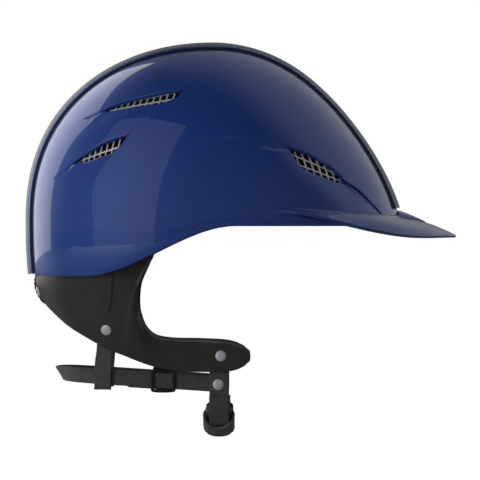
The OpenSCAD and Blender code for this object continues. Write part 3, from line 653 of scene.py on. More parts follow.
def make_band():
    half = BAND_W - 0.1
    top = [(y, 0.04 + 0.35 * (abs(y) / half) ** 10) for y in np.linspace(-half, half, 25)]
    ridge("band_skin", top + [(half, 2.55), (-half, 2.55)], [BAND], "band", ["centre_band"])
    y0, y1 = -BAND_W - RAIL_W, -BAND_W - 0.2
    rail = [(y1, 2.55), (y1, 0.75), (y1 - 0.2, 0.5), (y1 - 0.5, 0.45), (y1 - 0.7, 0.6), (y1 - 0.85, 1.5),
            (y1 - 1.75, 1.5), (y1 - 1.9, 0.6)]
    rail += [(mix(y1 - 2.1, y0 + 1.3, q), 0.3 + 0.35 * (2 * q - 1) ** 4) for q in np.linspace(0, 1, 9)]
    rail += [(y0 + 1.0, 1.0), (y0 + 0.85, 1.8), (y0 + 0.2, 2.0), (y0 - 0.4, 2.25), (y0 - 0.4, 2.6), (y0, 2.6)]
    # the segments listed in dark take the near-black look: painted shade in the groove and along the flank
    # down to the shell
    for side, word in SIDES:
        ridge("rail_skin_" + word, rail, [RAIL, GROOVE_SHADE], "rail", ["band_rail_" + word], side,
              dark=(4, 5, 6, 17, 18, 19, 20, 21, 22))


# ---------------------------------------------------------------------- peak
PEAK_X, PEAK_Y = 52.0, HALF_W - 3
PEAK_ROUND = 1.53


def shell_x(y, z, t):
    """How far forward the helmet's surface is at y and z."""
    front, _, wide = spans(height_angle(z, t), t)
    return MID_X + front * np.clip(1 - np.abs(y / wide) ** PLAN_N, 0, 1) ** (1 / PLAN_N)


def peak_top(f, v):
    """Upper surface of the peak; f goes round it in degrees and v from the root to the lip."""
    f = np.radians(f)
    c = np.abs(np.cos(f)) ** (2 / PEAK_ROUND)
    s = np.sign(f) * np.abs(np.sin(f)) ** (2 / PEAK_ROUND)
    x, y = PEAK_X + (PEAK_REACH - PEAK_X) * c, PEAK_Y * s
    z = 13 - 20.2 * ramp(x, 30, 148) + 0.7 * ramp(x, 150, 172)
    ry = y * 0.985
    rz = 5.5 + 1.59 * np.exp(-(ry / 24) ** 2) + 8 * (np.abs(ry) / 105) ** 3
    rx = shell_x(ry, rz, BAND_RISE - 0.3)
    crown = 7.6 * v * (1 - v) * ramp(np.abs(np.cos(f)), 0, 0.8)
    return np.stack([mix(rx, x, v), mix(ry, y, v), mix(rz, z, v) + crown], -1)


def peak_normal(f, v):
    """Upward direction of the peak's upper surface."""
    df, dv = 0.4, 0.02
    n = unit(np.cross(peak_top(f + df, v) - peak_top(f - df, v), peak_top(f, v + dv) - peak_top(f, v - dv)))
    return n * np.where(n[..., 2:] < 0, -1, 1)


def make_peak():
    f = np.linspace(-84, 84, 141)[:, None]
    v = np.concatenate([[-0.05, 0.0, 0.03, 0.08], np.linspace(0.15, 0.93, 14), [0.96, 0.985]])[None, :]
    top = peak_top(f, np.maximum(v, 0))
    n = peak_normal(f, np.clip(v, 0.03, 0.97))
    thick = mix(PEAK_T, 2.3, ramp(v, 0.1, 1.0))[..., None]
    sink = helm_inward(top[:, :1])
    top[:, 0] += sink[:, 0] * 3
    fillet = (1.6 * np.exp(-np.maximum(v, 0) / 0.07) * ramp(np.cos(np.radians(f)), 0.1, 0.5))[..., None]
    top = top + n * fillet
    under = top - n * (thick + 1.4 * fillet)
    lip_n, lip_t = n[:, -1], thick[:, -1]
    edge = unit(peak_top(f, np.array([[1.0]]))[:, 0] - peak_top(f, np.array([[0.96]]))[:, 0])
    mid = (top[:, -1] + under[:, -1]) / 2
    phi = np.radians([30, 60, 90, 120, 150])
    lip = np.stack([mid + lip_t / 2 * (lip_n * math.cos(p) + edge * math.sin(p)) for p in phi], 1)
    s = Skin()
    s.tube(np.concatenate([top, lip, under[:, ::-1]], 1))
    s.build("peak_skin", [PAINT], "helmet", "shell", 50, ["peak"])


def helm_inward(P):
    """Level direction from a point towards the helmet's middle."""
    d = np.array([MID_X, 0, 0]) - P
    d[..., 2] = 0
    return unit(d)


SCOOP_F, SCOOP_V = 18.0, 0.46


def make_scoop():
    """Raised wedge in the middle of the peak that the centre band runs into."""
    v = np.linspace(-0.04, 1, 26)[:, None]
    p = np.concatenate([[-1.0, -0.97, -0.93], np.linspace(-0.86, 0.86, 15), [0.93, 0.97, 1.0]])[None, :]
    wide = SCOOP_F * (1 - np.clip(v, 0, 1) ** 1.25) + 0.25
    f, w = p * wide, np.clip(v, 0, 1) * SCOOP_V
    base = peak_top(f, w)
    n = peak_normal(f, np.maximum(w, 0.03))
    rise = mix(3.9, 0.35, np.clip(v, 0, 1)) * (1 - np.abs(p) ** 14) + 0.02
    top = base + n * rise[..., None]
    top[0] += helm_inward(top[:1])[0] * 3
    under = base - n * 0.8
    under[0] = top[0] - [0, 0, 2.5]
    s = Skin()
    s.tube(np.concatenate([top, under[:, ::-1]], 1))
    s.build("peak_scoop", [PAINT], "helmet", "shell", 35)


# ------------------------------------------------------------------- grilles
def dress(obj, look, round_off, segments, angle):
    """Rounds the edges sharper than angle of a piece kept from the CAD, and gives it a material."""
    weld = obj.modifiers.new("weld", "WELD")
    weld.merge_threshold = 1e-6
    bevel = obj.modifiers.new("round", "BEVEL")
    bevel.width = round_off * MM
    bevel.segments = segments
    bevel.limit_method = "ANGLE"
    bevel.angle_limit = math.radians(angle)
    for s in obj.material_slots:
        s.link = "OBJECT"
        s.material = look


def make_grilles():
    """The CAD's square-mesh sheets get rounded wires and chrome."""
    for name in ("front", "upper", "lower"):
        for _, word in SIDES:
            dress(NODES[f"{name}_grille_{word}"], CHROME, 0.28, 2, 50)


# -------------------------------------------------------------- comfort pads
def seam_pinch(a, count, depth):
    """Depth of the sewn channels across a pad at azimuth a."""
    return depth * (1 - np.abs(np.sin(np.radians(a) * count / 2)) ** 0.35)


def make_headband():
    """Foam-filled knit band, quilted across, with a bound edge above and below."""
    a = np.arange(0, 360, 1.5)[:, None]
    b = np.linspace(0, 1, 15)[None, :]
    puff = 0.2 + 1.7 * np.abs(2 * b - 1) ** 3 + seam_pinch(a, 26, 1.3) * (1 - np.abs(2 * b - 1) ** 4)
    back = 0.25 * np.abs(2 * b - 1) ** 2

    def wall(t, b):
        e0, e1 = rim_e(a, PAD_OUT, 5), rim_e(a, PAD_OUT, 39)
        return helm(mix(e0, e1, mix(0.01, 0.99, b)), a, t)

    inner = wall(PAD_OUT + PAD_T - puff, b)
    outer = wall(PAD_OUT + back + 0 * puff, b[:, ::-1])
    s = Skin()
    I = s.rows(np.concatenate([inner, outer], 1))
    I = np.vstack([I, I[:1]])
    s.cover(I, wrap=True)
    pad = s.build("headband_cushion", [KNIT], "helmet", "pad", 60, ["headband_pad"])
    for word, q in (("lower", 0.0), ("upper", 1.0)):
        centre = wall(PAD_OUT + 1.5, np.full((1, 1), q))[:, 0]
        piping("headband_binding_" + word, centre, 1.35)


def piping(name, path, r):
    """Round welt along a closed path."""
    sides = 10
    P = np.asarray(path, float)
    t = unit(np.roll(P, -1, 0) - np.roll(P, 1, 0))
    n = unit(np.cross(t, [0.0, 0.0, 1.0]))
    b = np.cross(n, t)
    phi = np.linspace(0, 2 * math.pi, sides, endpoint=False)
    R = np.stack([P + r * (n * math.cos(p) + b * math.sin(p)) for p in phi], 1)
    length = run_of(P)
    U = [[(s, k * 2 * math.pi * r / sides) for k in range(sides + 1)] for s in [*length, length[-1] + 1]]
    s = Skin()
    s.tube(R, U, closed=True)
    s.build(name, [BINDING], "helmet", "pad", 60)


def make_crown_pad():
    """Round cushion under the crown with a petal quilt."""
    a = np.arange(0, 360, 3)[:, None]
    e = np.linspace(52.5, 86, 20)[None, :]
    edge = ramp(e, 52.5, 57)
    puff = 2.4 * (1 - edge) ** 2 + seam_pinch(a, 12, 1.5) * edge * (1 - ramp(e, 76, 86))
    puff = puff + 0.9 * np.exp(-((e - 70) / 1.2) ** 2)
    inner = helm(e, a, PAD_OUT + PAD_T - puff)
    outer = helm(e, a, PAD_OUT + 0.3 + 0 * puff)
    s = Skin()
    A, B = s.rows(inner), s.rows(outer)
    A, B = np.vstack([A, A[:1]]), np.vstack([B, B[:1]])
    s.cover(A)
    s.cover(B)
    s.cover(np.stack([A[:, 0], B[:, 0]], 1))
    s.fan(A[:-1, -1], helm(90.0, 0.0, PAD_OUT + PAD_T - 0.6))
    s.fan(B[:-1, -1], helm(90.0, 0.0, PAD_OUT + 0.3))
    pad = s.build("crown_cushion", [KNIT], "helmet", "pad", 60, ["crown_pad"])
    rim = helm(np.full(120, 53.2), a[:, 0], PAD_OUT + 1.6)
    piping("crown_binding", rim, 1.3)


# ------------------------------------------------------------ harness panels
TOP_EDGE = [(-127.6, 0, -30), (-125.4, -27, -29), (-112.6, -54.4, -28.5), (-87.6, -73.2, -26.5),
            (-64, -81, -21.5), (-46, -83, -17.5), (-54.4, -81, -34), (-58.2, -76, -51),
            (-55.4, -72, -66), (-47.4, -69.8, -77.4), (-35, -69, -81), (-12, -69, -81.7),
            (7, -69, -82.9), (17, -69, -86.2), (22.2, -69, -90.4)]
LOW_EDGE = [(-123.5, 0, -55.5), (-119.5, -24, -59.5), (-106, -48, -71.5), (-90, -59.6, -81.6),
            (-77, -64.2, -88.6), (-67, -66, -92.5), (-60.5, -67, -95), (-55, -67.6, -97),
            (-49.5, -68, -98.8), (-42.5, -68.7, -100.7), (-32, -69, -102.7), (-12, -69, -103.8),
            (8, -69, -103.2), (17, -69, -100.6), (22, -69, -96.6)]


def leaf(u, v):
    """Middle of the right harness panel; u from the nape to the jaw arm's end, v downward."""
    u, v = np.broadcast_arrays(np.asarray(u, float), np.asarray(v, float))
    w = v[..., None]
    P = mix(flow(TOP_EDGE, u), flow(LOW_EDGE, u), w)
    swell = 4 * v * (1 - v)
    ear = ramp(u, 0.29, 0.36) * (1 - ramp(u, 0.39, 0.5))  # bends the rulings round the ear opening
    shift = -4.7 * (1 - ramp(u, 0.02, 0.26)) - 6.2 * ear
    P = P + (shift * swell + 100 * np.maximum(0, u - 1))[..., None] * [1, 0, 0]
    return P + (-2.6 * swell * ramp(u, 0.05, 0.3) * (1 - ramp(u, 0.5, 0.7)))[..., None] * [0, 1, 0]


def leaf_out(u, v):
    """Outward direction of the right panel."""
    du, dv = 0.004, 0.02
    w = np.minimum(u, 1)
    a = leaf(np.minimum(w + du, 1), v) - leaf(np.maximum(w - du, 0), v)
    b = leaf(w, v + dv) - leaf(w, v - dv)
    return -unit(np.cross(a, b))


def hide_sheet(name, u, v_of, out, thick, look, side, slot, edge, replaces=()):
    """Leather sheet over part of the panel. v_of(q) gives v for q from 0 to 1; its outer face
    lies out millimetres outside the middle of the panel and its edges are rolled."""
    u = np.asarray(u, float)[:, None]
    q = np.linspace(0, 1, 26)[None, :]
    V = v_of(u, q)
    P, N = leaf(u, V), leaf_out(u, V)
    width = unit(np.diff(P, axis=1))
    front, back = P + N * out, P + N * (out - thick)
    mid = (out - thick / 2)
    phi = np.radians([30, 60, 90, 120, 150])
    low = [P[:, -1] + N[:, -1] * (mid + thick / 2 * math.cos(p)) + width[:, -1] * edge * math.sin(p)
           for p in phi]
    top = [P[:, 0] + N[:, 0] * (mid - thick / 2 * math.cos(p)) - width[:, 0] * edge * math.sin(p)
           for p in phi]
    loop = np.concatenate([front, np.stack(low, 1), back[:, ::-1], np.stack(top, 1)], 1)
    s = Skin()
    s.tube(mirror(loop, side))
    s.build(name, [look], "helmet", slot, 50, replaces)


def ends(lo, hi, n, ease=0.3):
    """Places from lo to hi, closer together near both ends."""
    q = np.linspace(0, 1, n)
    return lo + (hi - lo) * (q - ease * np.sin(2 * math.pi * q) / (2 * math.pi))


LINING_NOSE, HIDE_NOSE = 0.012, 0.006  # how far the rounded ends run on past the last edge point


def make_panels():
    u = ends(0.0, 1, 240)

    def lining(u, q):
        nose = np.sqrt(np.clip(1 - (np.maximum(0, u - 1) / LINING_NOSE) ** 2, 0.02, 1))
        return 0.5 + (mix(0.004, 0.996, q) - 0.5) * nose

    def outer(u, q):
        gap = 0.05 * ramp(u, 0.37, 0.42) + 0.02 * ramp(u, 0.72, 0.8) + 0.01
        nose = np.sqrt(np.clip(1 - (np.maximum(0, u - 1) / HIDE_NOSE) ** 2, 0.02, 1))
        return 0.5 + (mix(gap, 0.988, q) - 0.5) * nose

    arc = np.sin(np.linspace(0.12, 1.0, 8) * math.pi / 2)
    for side, word in SIDES:
        hide_sheet("panel_lining_" + word, np.append(u, 1 + LINING_NOSE * arc), lining, -0.05, 0.95, LINING,
                   side, "panel", 0.4, ["harness_panel_" + word])
        hide_sheet("panel_hide_" + word, np.append(u, 1 + HIDE_NOSE * arc), outer, 1.0, 1.1, HIDE,
                   side, "panel", 0.5)


# the tongue's rear and front edge (u) at its top and at its tip, and its top and tip (v)
TONGUE_REAR, TONGUE_FRONT, TONGUE_V = (0.163, 0.253), (0.257, 0.267), (0.02, 0.6)


def tongue_at(q, v, c):
    """Place (u, v) on the panel of a point q across the tongue and v down it, where its width is
    c of the full one."""
    return mix(mix(*TONGUE_REAR, v), mix(*TONGUE_FRONT, v), 0.5 + (q - 0.5) * c), mix(*TONGUE_V, v)


def make_tongues():
    """V-shaped leather tongue stitched on each panel under the rim."""
    q = np.linspace(0, 1, 34)[None, :]
    v = np.linspace(0, 1, 40)[:, None]
    U, V = tongue_at(q, v, np.sqrt(np.maximum(0.004, 1 - v ** 9)))
    P, N = leaf(U, V), leaf_out(U, V)
    top_width, tip_width = TONGUE_FRONT[0] - TONGUE_REAR[0], TONGUE_FRONT[1] - TONGUE_REAR[1]
    rim = np.minimum(np.minimum(q, 1 - q) * 2 * mix(top_width, tip_width, v) / 0.012, (1 - v) / 0.03)
    crown = 1.55 + 0.35 * np.clip(rim, 0, 1) ** 0.5 - 0.16 * np.exp(-((rim - 2.2) / 0.5) ** 2)
    top, under = P + N * crown[..., None], P + N * 1.02
    # the stitches go down one side and back up the other
    down = np.linspace(0.06, 0.9, 60)
    v = np.append(down, down[::-1])
    q = np.repeat([0.055, 1 - 0.055], len(down))
    c = np.sqrt(np.maximum(0.004, 1 - v ** 9))
    path = tongue_at(mix(0.5, q, np.minimum(1, c * 1.2)), v, c)
    Q, M = leaf(*path), leaf_out(*path)
    for side, word in SIDES:
        s = Skin()
        s.slab(mirror(top, side), mirror(under, side))
        s.build("tongue_hide_" + word, [TONGUE], "helmet", "panel", 40, ["anchor_tongue_" + word])
        stitches("tongue_stitches_" + word, mirror(Q + M * 1.85, side), mirror(M, side), 2.0, 1.0, 0.24,
                 "helmet")


def stitches(name, path, normals, length, gap, r, body, slot="panel"):
    """Row of separate thread stitches laid along a path."""
    P, N = np.asarray(path, float), unit(normals)
    run = run_of(P)
    s = Skin()
    phi = np.linspace(0, 2 * math.pi, 6, endpoint=False)
    for k in range(int(run[-1] // (length + gap))):
        at = k * (length + gap) + gap / 2 + length * np.linspace(0, 1, 5)
        C = np.stack([np.interp(at, run, P[:, i]) for i in range(3)], -1)
        M = unit(np.stack([np.interp(at, run, N[:, i]) for i in range(3)], -1))
        t = unit(np.gradient(C, axis=0))
        b = unit(np.cross(t, M))
        arch = np.array([-1.0, 0.35, 0.6, 0.35, -1.0]) * r
        fat = np.array([0.5, 0.95, 1.0, 0.95, 0.5]) * r
        s.tube([[C[i] + M[i] * (arch[i] + fat[i] * math.cos(p)) + b[i] * fat[i] * math.sin(p) for p in phi]
                for i in range(5)])
    s.build(name, [THREAD], body, slot, 60)


def make_nape():
    """Seam strip that joins the two panels behind the head, with two bar tacks."""
    x = np.linspace(-1, 1, 31)[:, None]
    v = np.linspace(0.08, 0.975, 32)[None, :]
    y = 9 * x
    base = leaf(np.abs(y) / 370, v)
    base = np.stack([base[..., 0], y + 0 * v, base[..., 2]], -1)
    n = np.array([-0.94, 0, -0.34])
    rim = np.minimum((1 - np.abs(x)) / 0.09, np.minimum(v - 0.08, 0.975 - v) / 0.03)
    top = base + n * (1.35 + 0.6 * np.clip(rim, 0, 1) ** 0.5)[..., None]
    s = Skin()
    s.slab(top, base + n * 1.2)
    s.build("nape_seam_strip", [HIDE], "helmet", "panel", 45, ["nape_bridge"])
    for word, col in (("right", 4), ("left", 26)):
        path = top[col, 1:-1]
        stitches("nape_stitches_" + word, path, np.tile(n, (len(path), 1)), 2.2, 1.1, 0.26, "helmet")


# ---------------------------------------------------------------- metalwork
CAP = [(0.0, 1.36), (0.9, 1.34), (1.8, 1.26), (2.6, 1.08), (3.15, 0.82), (3.42, 0.58), (3.5, 0.5),
       (3.68, 0.46), (3.82, 0.32), (3.86, 0.14), (3.8, 0.0), (SHANK_R, 0.0)]
WASHER = [(SHANK_R, 0.9), (2.9, 0.9), (3.15, 0.75), (3.2, 0.5), (3.15, 0.12), (2.9, 0.0), (SHANK_R, 0.0)]


def lathe(s, profile, at, axis, n=48):
    """Turned shape round axis from at; profile is (radius, height) from the top down."""
    axis = unit(axis)
    side = unit(np.cross(axis, [0.3, 0.1, 1.0]))
    other = np.cross(axis, side)
    phi = np.linspace(0, 2 * math.pi, n, endpoint=False)
    rings = [[np.array(at) + axis * h + r * (side * math.cos(p) + other * math.sin(p)) for p in phi]
             for r, h in profile if r > 0]
    I = s.rows(rings)
    s.cover(I, wrap=True)
    s.fan(I[0], np.array(at) + axis * profile[0][1])
    s.fan(I[-1], np.array(at) + axis * profile[-1][1])


def pin(s, at, y_in, side, washer_y):
    """Shank and washer of a rivet whose axis is across the helmet."""
    x, y, z = at
    shank = [(SHANK_R, 0.0), (SHANK_R, -abs(y_in - y))]
    lathe(s, shank, mirror((x, y, z), side), mirror((0, -1, 0), side), 28)
    lathe(s, WASHER, mirror((x, washer_y, z), side), mirror((0, 1, 0), side))


DROP_IN = 3.8
REAR_U = (0.262, 0.8)
REAR_AT = leaf(*REAR_U)
REAR_N = leaf_out(np.array(REAR_U[0]), np.array(REAR_U[1]))
REAR_PIN = (REAR_AT[0], REAR_AT[2])


def make_rivets():
    s = {word: Skin() for word in ("jaw", "chin", "rear", "nape")}
    nape_at, nape_n = leaf(0.052, 0.62), leaf_out(np.array(0.052), np.array(0.62))
    for side, _ in SIDES:
        for word, (x, z), y, behind, gap in (("jaw", JAW_PIN, -JAW_Y, -CHIN_Y, 0.35),
                                             ("chin", CHIN_PIN, -CHIN_Y, -NECK_Y, 0.4)):
            lathe(s[word], CAP, mirror((x, y - 0.02, z), side), mirror((0, -1, 0), side))
            pin(s[word], (x, y, z), behind + WEB_T + 0.9, side, behind + WEB_T + gap)
        lathe(s["rear"], CAP, mirror(REAR_AT + REAR_N * (PANEL_T / 2 + 0.04), side), mirror(REAR_N, side))
        y = REAR_AT[1]
        pin(s["rear"], (REAR_PIN[0], y, REAR_PIN[1]), y + DROP_IN + 2.8, side, y + DROP_IN + 2.5)
        lathe(s["nape"], CAP, mirror(nape_at + nape_n * (PANEL_T / 2 + 0.06), side), mirror(nape_n, side))
    for word, shape in s.items():
        shape.build(word + "_rivet_set", [SATIN], "chin_upper" if word == "chin" else "helmet", "rivet", 40,
                    [word + "_rivets"])


# -------------------------------------------------------------------- straps
def strap(path, across, width):
    """Rings and weave coordinates of a webbing strap along path; across is its width direction."""
    P, A = np.asarray(path, float), unit(across)
    t = unit(np.gradient(P, axis=0))
    A = unit(A - t * np.sum(A * t, -1, keepdims=True))
    N = np.cross(t, A)
    width = np.broadcast_to(np.asarray(width, float), (len(P),))[:, None]
    r = WEB_T / 2
    x = np.linspace(-1, 1, 13)
    edge = np.exp(-((np.abs(x) - 0.88) / 0.07) ** 2) * 0.1
    phi = np.radians([25, 55, 90, 125, 155])
    loops = []
    for sgn in (1, -1):
        half = width / 2 - r
        loops.append(P[:, None] + A[:, None] * (sgn * x[None] * half)[..., None]
                     + N[:, None] * (sgn * (r + edge[None] + 0 * half))[..., None])
        loops.append(P[:, None] + A[:, None] * (sgn * (half + r * np.sin(phi)[None]))[..., None]
                     + N[:, None] * (sgn * r * np.cos(phi)[None] + 0 * half)[..., None])
    R = np.concatenate(loops, 1)
    along = run_of(P)
    m = R.shape[1]
    per = 2 * float(width.mean() + WEB_T)
    U = [[(s, k * per / m) for k in range(m + 1)] for s in along]
    return R, U


def strap_piece(name, part, body, replaces):
    s = Skin()
    s.tube(*part)
    return s.build(name, [WEB], body, "webbing", 50, replaces)


def neck_z(x):
    """Height of the neck strap's middle line, which falls towards the front."""
    return mix(-105.3, -112.9, (x + 114) / 114)


NECK_MID, NECK_HALF = -58.0, 55.5


def neck_bend(q):
    """Neck strap's bend behind the neck, from the right side (0) to the middle (1)."""
    a = math.radians(90 + 90 * q)
    c = max(0.0, -math.cos(a)) ** (2 / 3)
    s = abs(math.sin(a)) ** (2 / 3)
    return NECK_MID - NECK_HALF * c, -(NECK_Y - WEB_T / 2) * s


def make_neck_strap():
    pts, dirs = [], []
    for x in np.linspace(4.5, -50, 22):
        pts.append((x, -(NECK_Y - WEB_T / 2), neck_z(x)))
        dirs.append((0, 0, 1))
    for q in np.linspace(0, 1, 46):
        x, y = neck_bend(q)
        pts.append((x, y, neck_z(x)))
        dirs.append((-7.5 * q * q, 0, NECK_W))
    pts += [(x, -y, z) for x, y, z in pts[-2::-1]]
    dirs += dirs[-2::-1]
    strap_piece("neck_webbing", strap(pts, dirs, NECK_W), "neck", ["neck_strap"])


SLIDER_X = (-47.6, -30.0)


def make_tails():
    """Free end of the neck strap lying behind each slider."""
    x = np.linspace(-36.5, -64, 20)
    z = neck_z(x) - 1.3
    y = -NECK_Y + WEB_T + 0.3 + WEB_T / 2 + 0.6 * ramp(-x, 54, 66)
    wide = np.where(x < -63, NECK_W - 1.8, NECK_W - 1)
    P = np.stack([x, y, z], -1)
    for side, word in SIDES:
        part = strap(mirror(P, side), np.tile([0.0, 0, 1], (20, 1)), wide)
        strap_piece("tail_webbing_" + word, part, "slider_left" if side > 0 else "slider_right",
                    ["strap_tail_" + word])


DROP_X, DROP_TILT = -82.0, 12.5
LOOP_Y = neck_bend(0.18)[1]
LOOP_Z = neck_z(DROP_X)
LOOP_H = NECK_W / 2 + 1.5
LOOP_S = WEB_T / 2 + 1.3
LEAN = REAR_N[2] / REAR_N[1]
REAR_YAW = math.degrees(math.atan(REAR_N[0] / REAR_N[1]))


def drop_points():
    """(y, z) down from the rear rivet, round the neck strap and back up inside the loop."""
    top = REAR_PIN[1]

    def under(z):
        return REAR_AT[1] + DROP_IN + LEAN * (top - z)

    w = WEB_T / 2
    path = [(under(z), z) for z in (top + 5.5, top, top - 5, top - 10, top - 14.5)]
    path.append((mix(under(top - 17), LOOP_Y - LOOP_S - w, 0.6), LOOP_Z + LOOP_H + 7))
    path += [(LOOP_Y - LOOP_S - w, LOOP_Z + mix(LOOP_H + 2, -LOOP_H, v)) for v in (0, 0.5, 1)]
    path += [(LOOP_Y - (LOOP_S + w) * math.cos(a), LOOP_Z - LOOP_H - (LOOP_S + w) * math.sin(a) * 0.6)
             for a in np.radians(range(30, 151, 30))]
    path += [(LOOP_Y + LOOP_S + w, LOOP_Z + mix(-LOOP_H, LOOP_H, v)) for v in (0, 0.5, 1)]
    path += [(LOOP_Y + LOOP_S * 0.5, LOOP_Z + LOOP_H + 2.6),
             (LOOP_Y - LOOP_S + WEB_T * 0.9, LOOP_Z + LOOP_H + 5)]
    return flow(path, np.linspace(0, 1, 90))


def make_drop_straps():
    yz = drop_points()
    f = ramp(yz[:, 1], LOOP_Z, REAR_PIN[1])
    x = mix(DROP_X, REAR_PIN[0] - 0.4, f)
    w = np.radians(mix(DROP_TILT, REAR_YAW, f))
    P = np.stack([x, yz[:, 0], yz[:, 1]], -1)
    A = np.stack([np.cos(w), -np.sin(w), 0 * w], -1)
    wide = DROP_W / np.cos(w)
    for side, word in SIDES:
        part = strap(mirror(P, side), mirror(A, side), wide)
        strap_piece("drop_webbing_" + word, part, "drop_" + word, ["drop_strap_" + word])
        k = int(np.argmin(np.abs(yz[:45, 1] - (LOOP_Z + LOOP_H + 3.2))))
        row = P[k] + A[k] * np.linspace(-4.6, 4.6, 12)[:, None] - [0, 0.75, 0]
        stitches("drop_bar_tack_" + word, mirror(row, side), mirror(np.tile([0.0, -1, 0], (12, 1)), side),
                 1.5, 0.5, 0.2, "drop_" + word, slot="webbing")


CS_X = 1.1
CY = CHIN_Y - WEB_T / 2
ARC_R, ARC_A = 127.8, math.radians(4.6)
LOW_Z = -147.0
BUCK = (FOLD[0] + ARC_R * math.cos(ARC_A), FOLD[1] - ARC_R * math.sin(ARC_A))


def buckle_point(y, z):
    """Point (y, z) of the buckle's own frame, which leans with the arc that it opens on."""
    return (BUCK[0] + y * math.cos(ARC_A) + z * math.sin(ARC_A),
            BUCK[1] - y * math.sin(ARC_A) + z * math.cos(ARC_A))


TOP_BAR, LOW_BAR = buckle_point(0, 7), buckle_point(0, -15.8)


def sling(u):
    """Middle line (y, z) of the strap that passes under the chin, from the fold to the buckle."""
    u = np.asarray(u, float)
    a = np.radians(np.clip(180 * u, 0, 90))
    w = np.clip((u - 0.5) * 2, 0, 1)
    near = np.stack([FOLD[0] * np.cos(a) ** (2 / 2.3), mix(FOLD[1], LOW_Z, np.sin(a) ** (2 / 2.3))], -1)
    far = np.stack([w * (LOW_BAR[0] - 2.2),
                    mix(LOW_Z, LOW_BAR[1] - 2.05, w) - 0.9 * np.sin(math.pi * w)], -1)
    return np.where(u[..., None] < 0.5, near, far)


def flat_path(yz):
    return np.stack([np.full(len(yz), CS_X), yz[:, 0], yz[:, 1]], -1)


def even(P, step):
    """The same line with points step millimetres apart."""
    run = run_of(P)
    at = np.linspace(0, run[-1], max(3, int(run[-1] / step)))
    return np.stack([np.interp(at, run, P[:, i]) for i in range(P.shape[1])], -1)


def arc(middle, r, degrees):
    return [(middle[0] + r * math.cos(a), middle[1] + r * math.sin(a)) for a in np.radians(degrees)]


def make_chin_straps():
    low = sling(np.linspace(0.012, 1, 140))
    loop = arc(LOW_BAR, 2.08, range(-90, 181, 15))
    high = [(-CY, -84.6), (-CY, -92), (-CY, -100), (-CY, -108), (-CY, -114), (-CY + 0.02, -117.6),
            (-CY + 0.45, -120)]
    yz = even(np.vstack([flow(high, np.linspace(0, 1, 40)), low, loop]), 0.9)
    P = flat_path(yz)
    A = np.tile([1.0, 0, 0], (len(P), 1))
    right = strap_piece("chin_webbing_right", strap(P, A, CHIN_W), None,
                        ["chin_strap_upper", "chin_strap_lower"])
    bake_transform(right)
    side = [(CY, -84.6), (CY, -92), (CY, -100), (CY, -108), (CY, -114), (CY - 0.05, -118), (CY - 0.4, -119.3),
            (CY - 1.55, -121.8)]
    ring = arc(TOP_BAR, 1.74, range(0, -181, -18))
    back = [(TOP_BAR[0] - 1.74 + 0.3, TOP_BAR[1] + 2.4), (TOP_BAR[0] - 1.74 + 0.9, TOP_BAR[1] + 4.4)]
    yz = even(np.vstack([flow(side, np.linspace(0, 1, 50)), ring, back]), 0.8)
    P = flat_path(yz)
    wide = mix(12.6, CHIN_W, ramp(P[:, 2], -120.5, -116.5))
    A = np.tile([1.0, 0, 0], (len(P), 1))
    strap_piece("chin_webbing_left", strap(P, A, wide), "chin_upper", ["chin_strap_left"])


# ------------------------------------------------------------ slider, buckle
def bar(s, a, b, half, swell=0.0):
    """Moulded bar from a to b; half is its half sizes across, swell a lens in the middle."""
    t = unit(b - a)
    ref = np.array([0.0, 1.0, 0.0])
    v = unit(np.cross(t, ref))
    phi = np.linspace(0, 2 * math.pi, 20, endpoint=False)
    squared = 2 / 3.0
    rings = []
    for q in np.linspace(0, 1, 15):
        tip = min(1, (min(q, 1 - q) * np.linalg.norm(b - a) / 0.5 + 0.25)) ** 0.5
        h1 = half[0] * min(1, tip)
        h2 = half[1] * min(1, tip) + swell * max(0, 1 - (2 * q - 1) ** 2) ** 0.8
        c = np.sign(np.cos(phi)) * np.abs(np.cos(phi)) ** squared
        d = np.sign(np.sin(phi)) * np.abs(np.sin(phi)) ** squared
        rings.append(mix(a, b, q) + np.outer(c * h1, ref) + np.outer(d * h2, v))
    s.tube(rings)


def make_sliders():
    """Three-bar adjuster with lens-shaped rails above and below the strap."""
    x0, x1 = SLIDER_X
    xm = (x0 + x1) / 2
    z = neck_z(-38.8)
    y = -NECK_Y
    h = NECK_W / 2 + 0.9
    for side, word in SIDES:
        s = Skin()

        def put(p, q, half, swell=0.0):
            bar(s, mirror(p, side), mirror(q, side), half, swell)

        deep = (WEB_T + 2.65) / 2
        ym = y - 1.35 + deep
        for k in (-1, 1):
            put((x0 + 0.3, ym, z + k * (h + 0.75)), (x1 - 0.3, ym, z + k * (h + 0.75)), (deep, 0.75), 0.65)
        for xc, r in ((x0 + 1.15, 1.15), (x1 - 1.15, 1.15)):
            put((xc, y - 0.85, z - h - 1.5), (xc, y - 0.85, z + h + 1.5), (0.5, r))
        put((xm + 1.2, y + WEB_T + 0.8, z - h - 1), (xm + 1.2, y + WEB_T + 0.8, z + h + 1), (0.5, 1.2))
        s.build("slider_frame_" + word, [PLASTIC], "slider_" + word, "buckle", 40, ["slider_" + word])


def make_buckle():
    for name in ("buckle_socket", "buckle_plug"):
        dress(NODES[name], PLASTIC, 0.35, 3, 35)


# ------------------------------------------------------------------ chin pad
PAD_X = 0.75


def sling_out(u):
    """Direction away from the chin."""
    d = sling(np.clip(u + 0.004, 0, 1)) - sling(np.clip(u - 0.004, 0, 1))
    return unit(np.stack([d[..., 1], -d[..., 0]], -1))


def on_sling(u, x, d):
    """Point at u along the chin strap, x across it and d away from the chin."""
    u, x, d = np.broadcast_arrays(*(np.asarray(k, float) for k in (u, x, d)))
    p, n = sling(u), sling_out(u)
    return np.stack([PAD_X + x, p[..., 0] + n[..., 0] * d, p[..., 1] + n[..., 1] * d], -1)


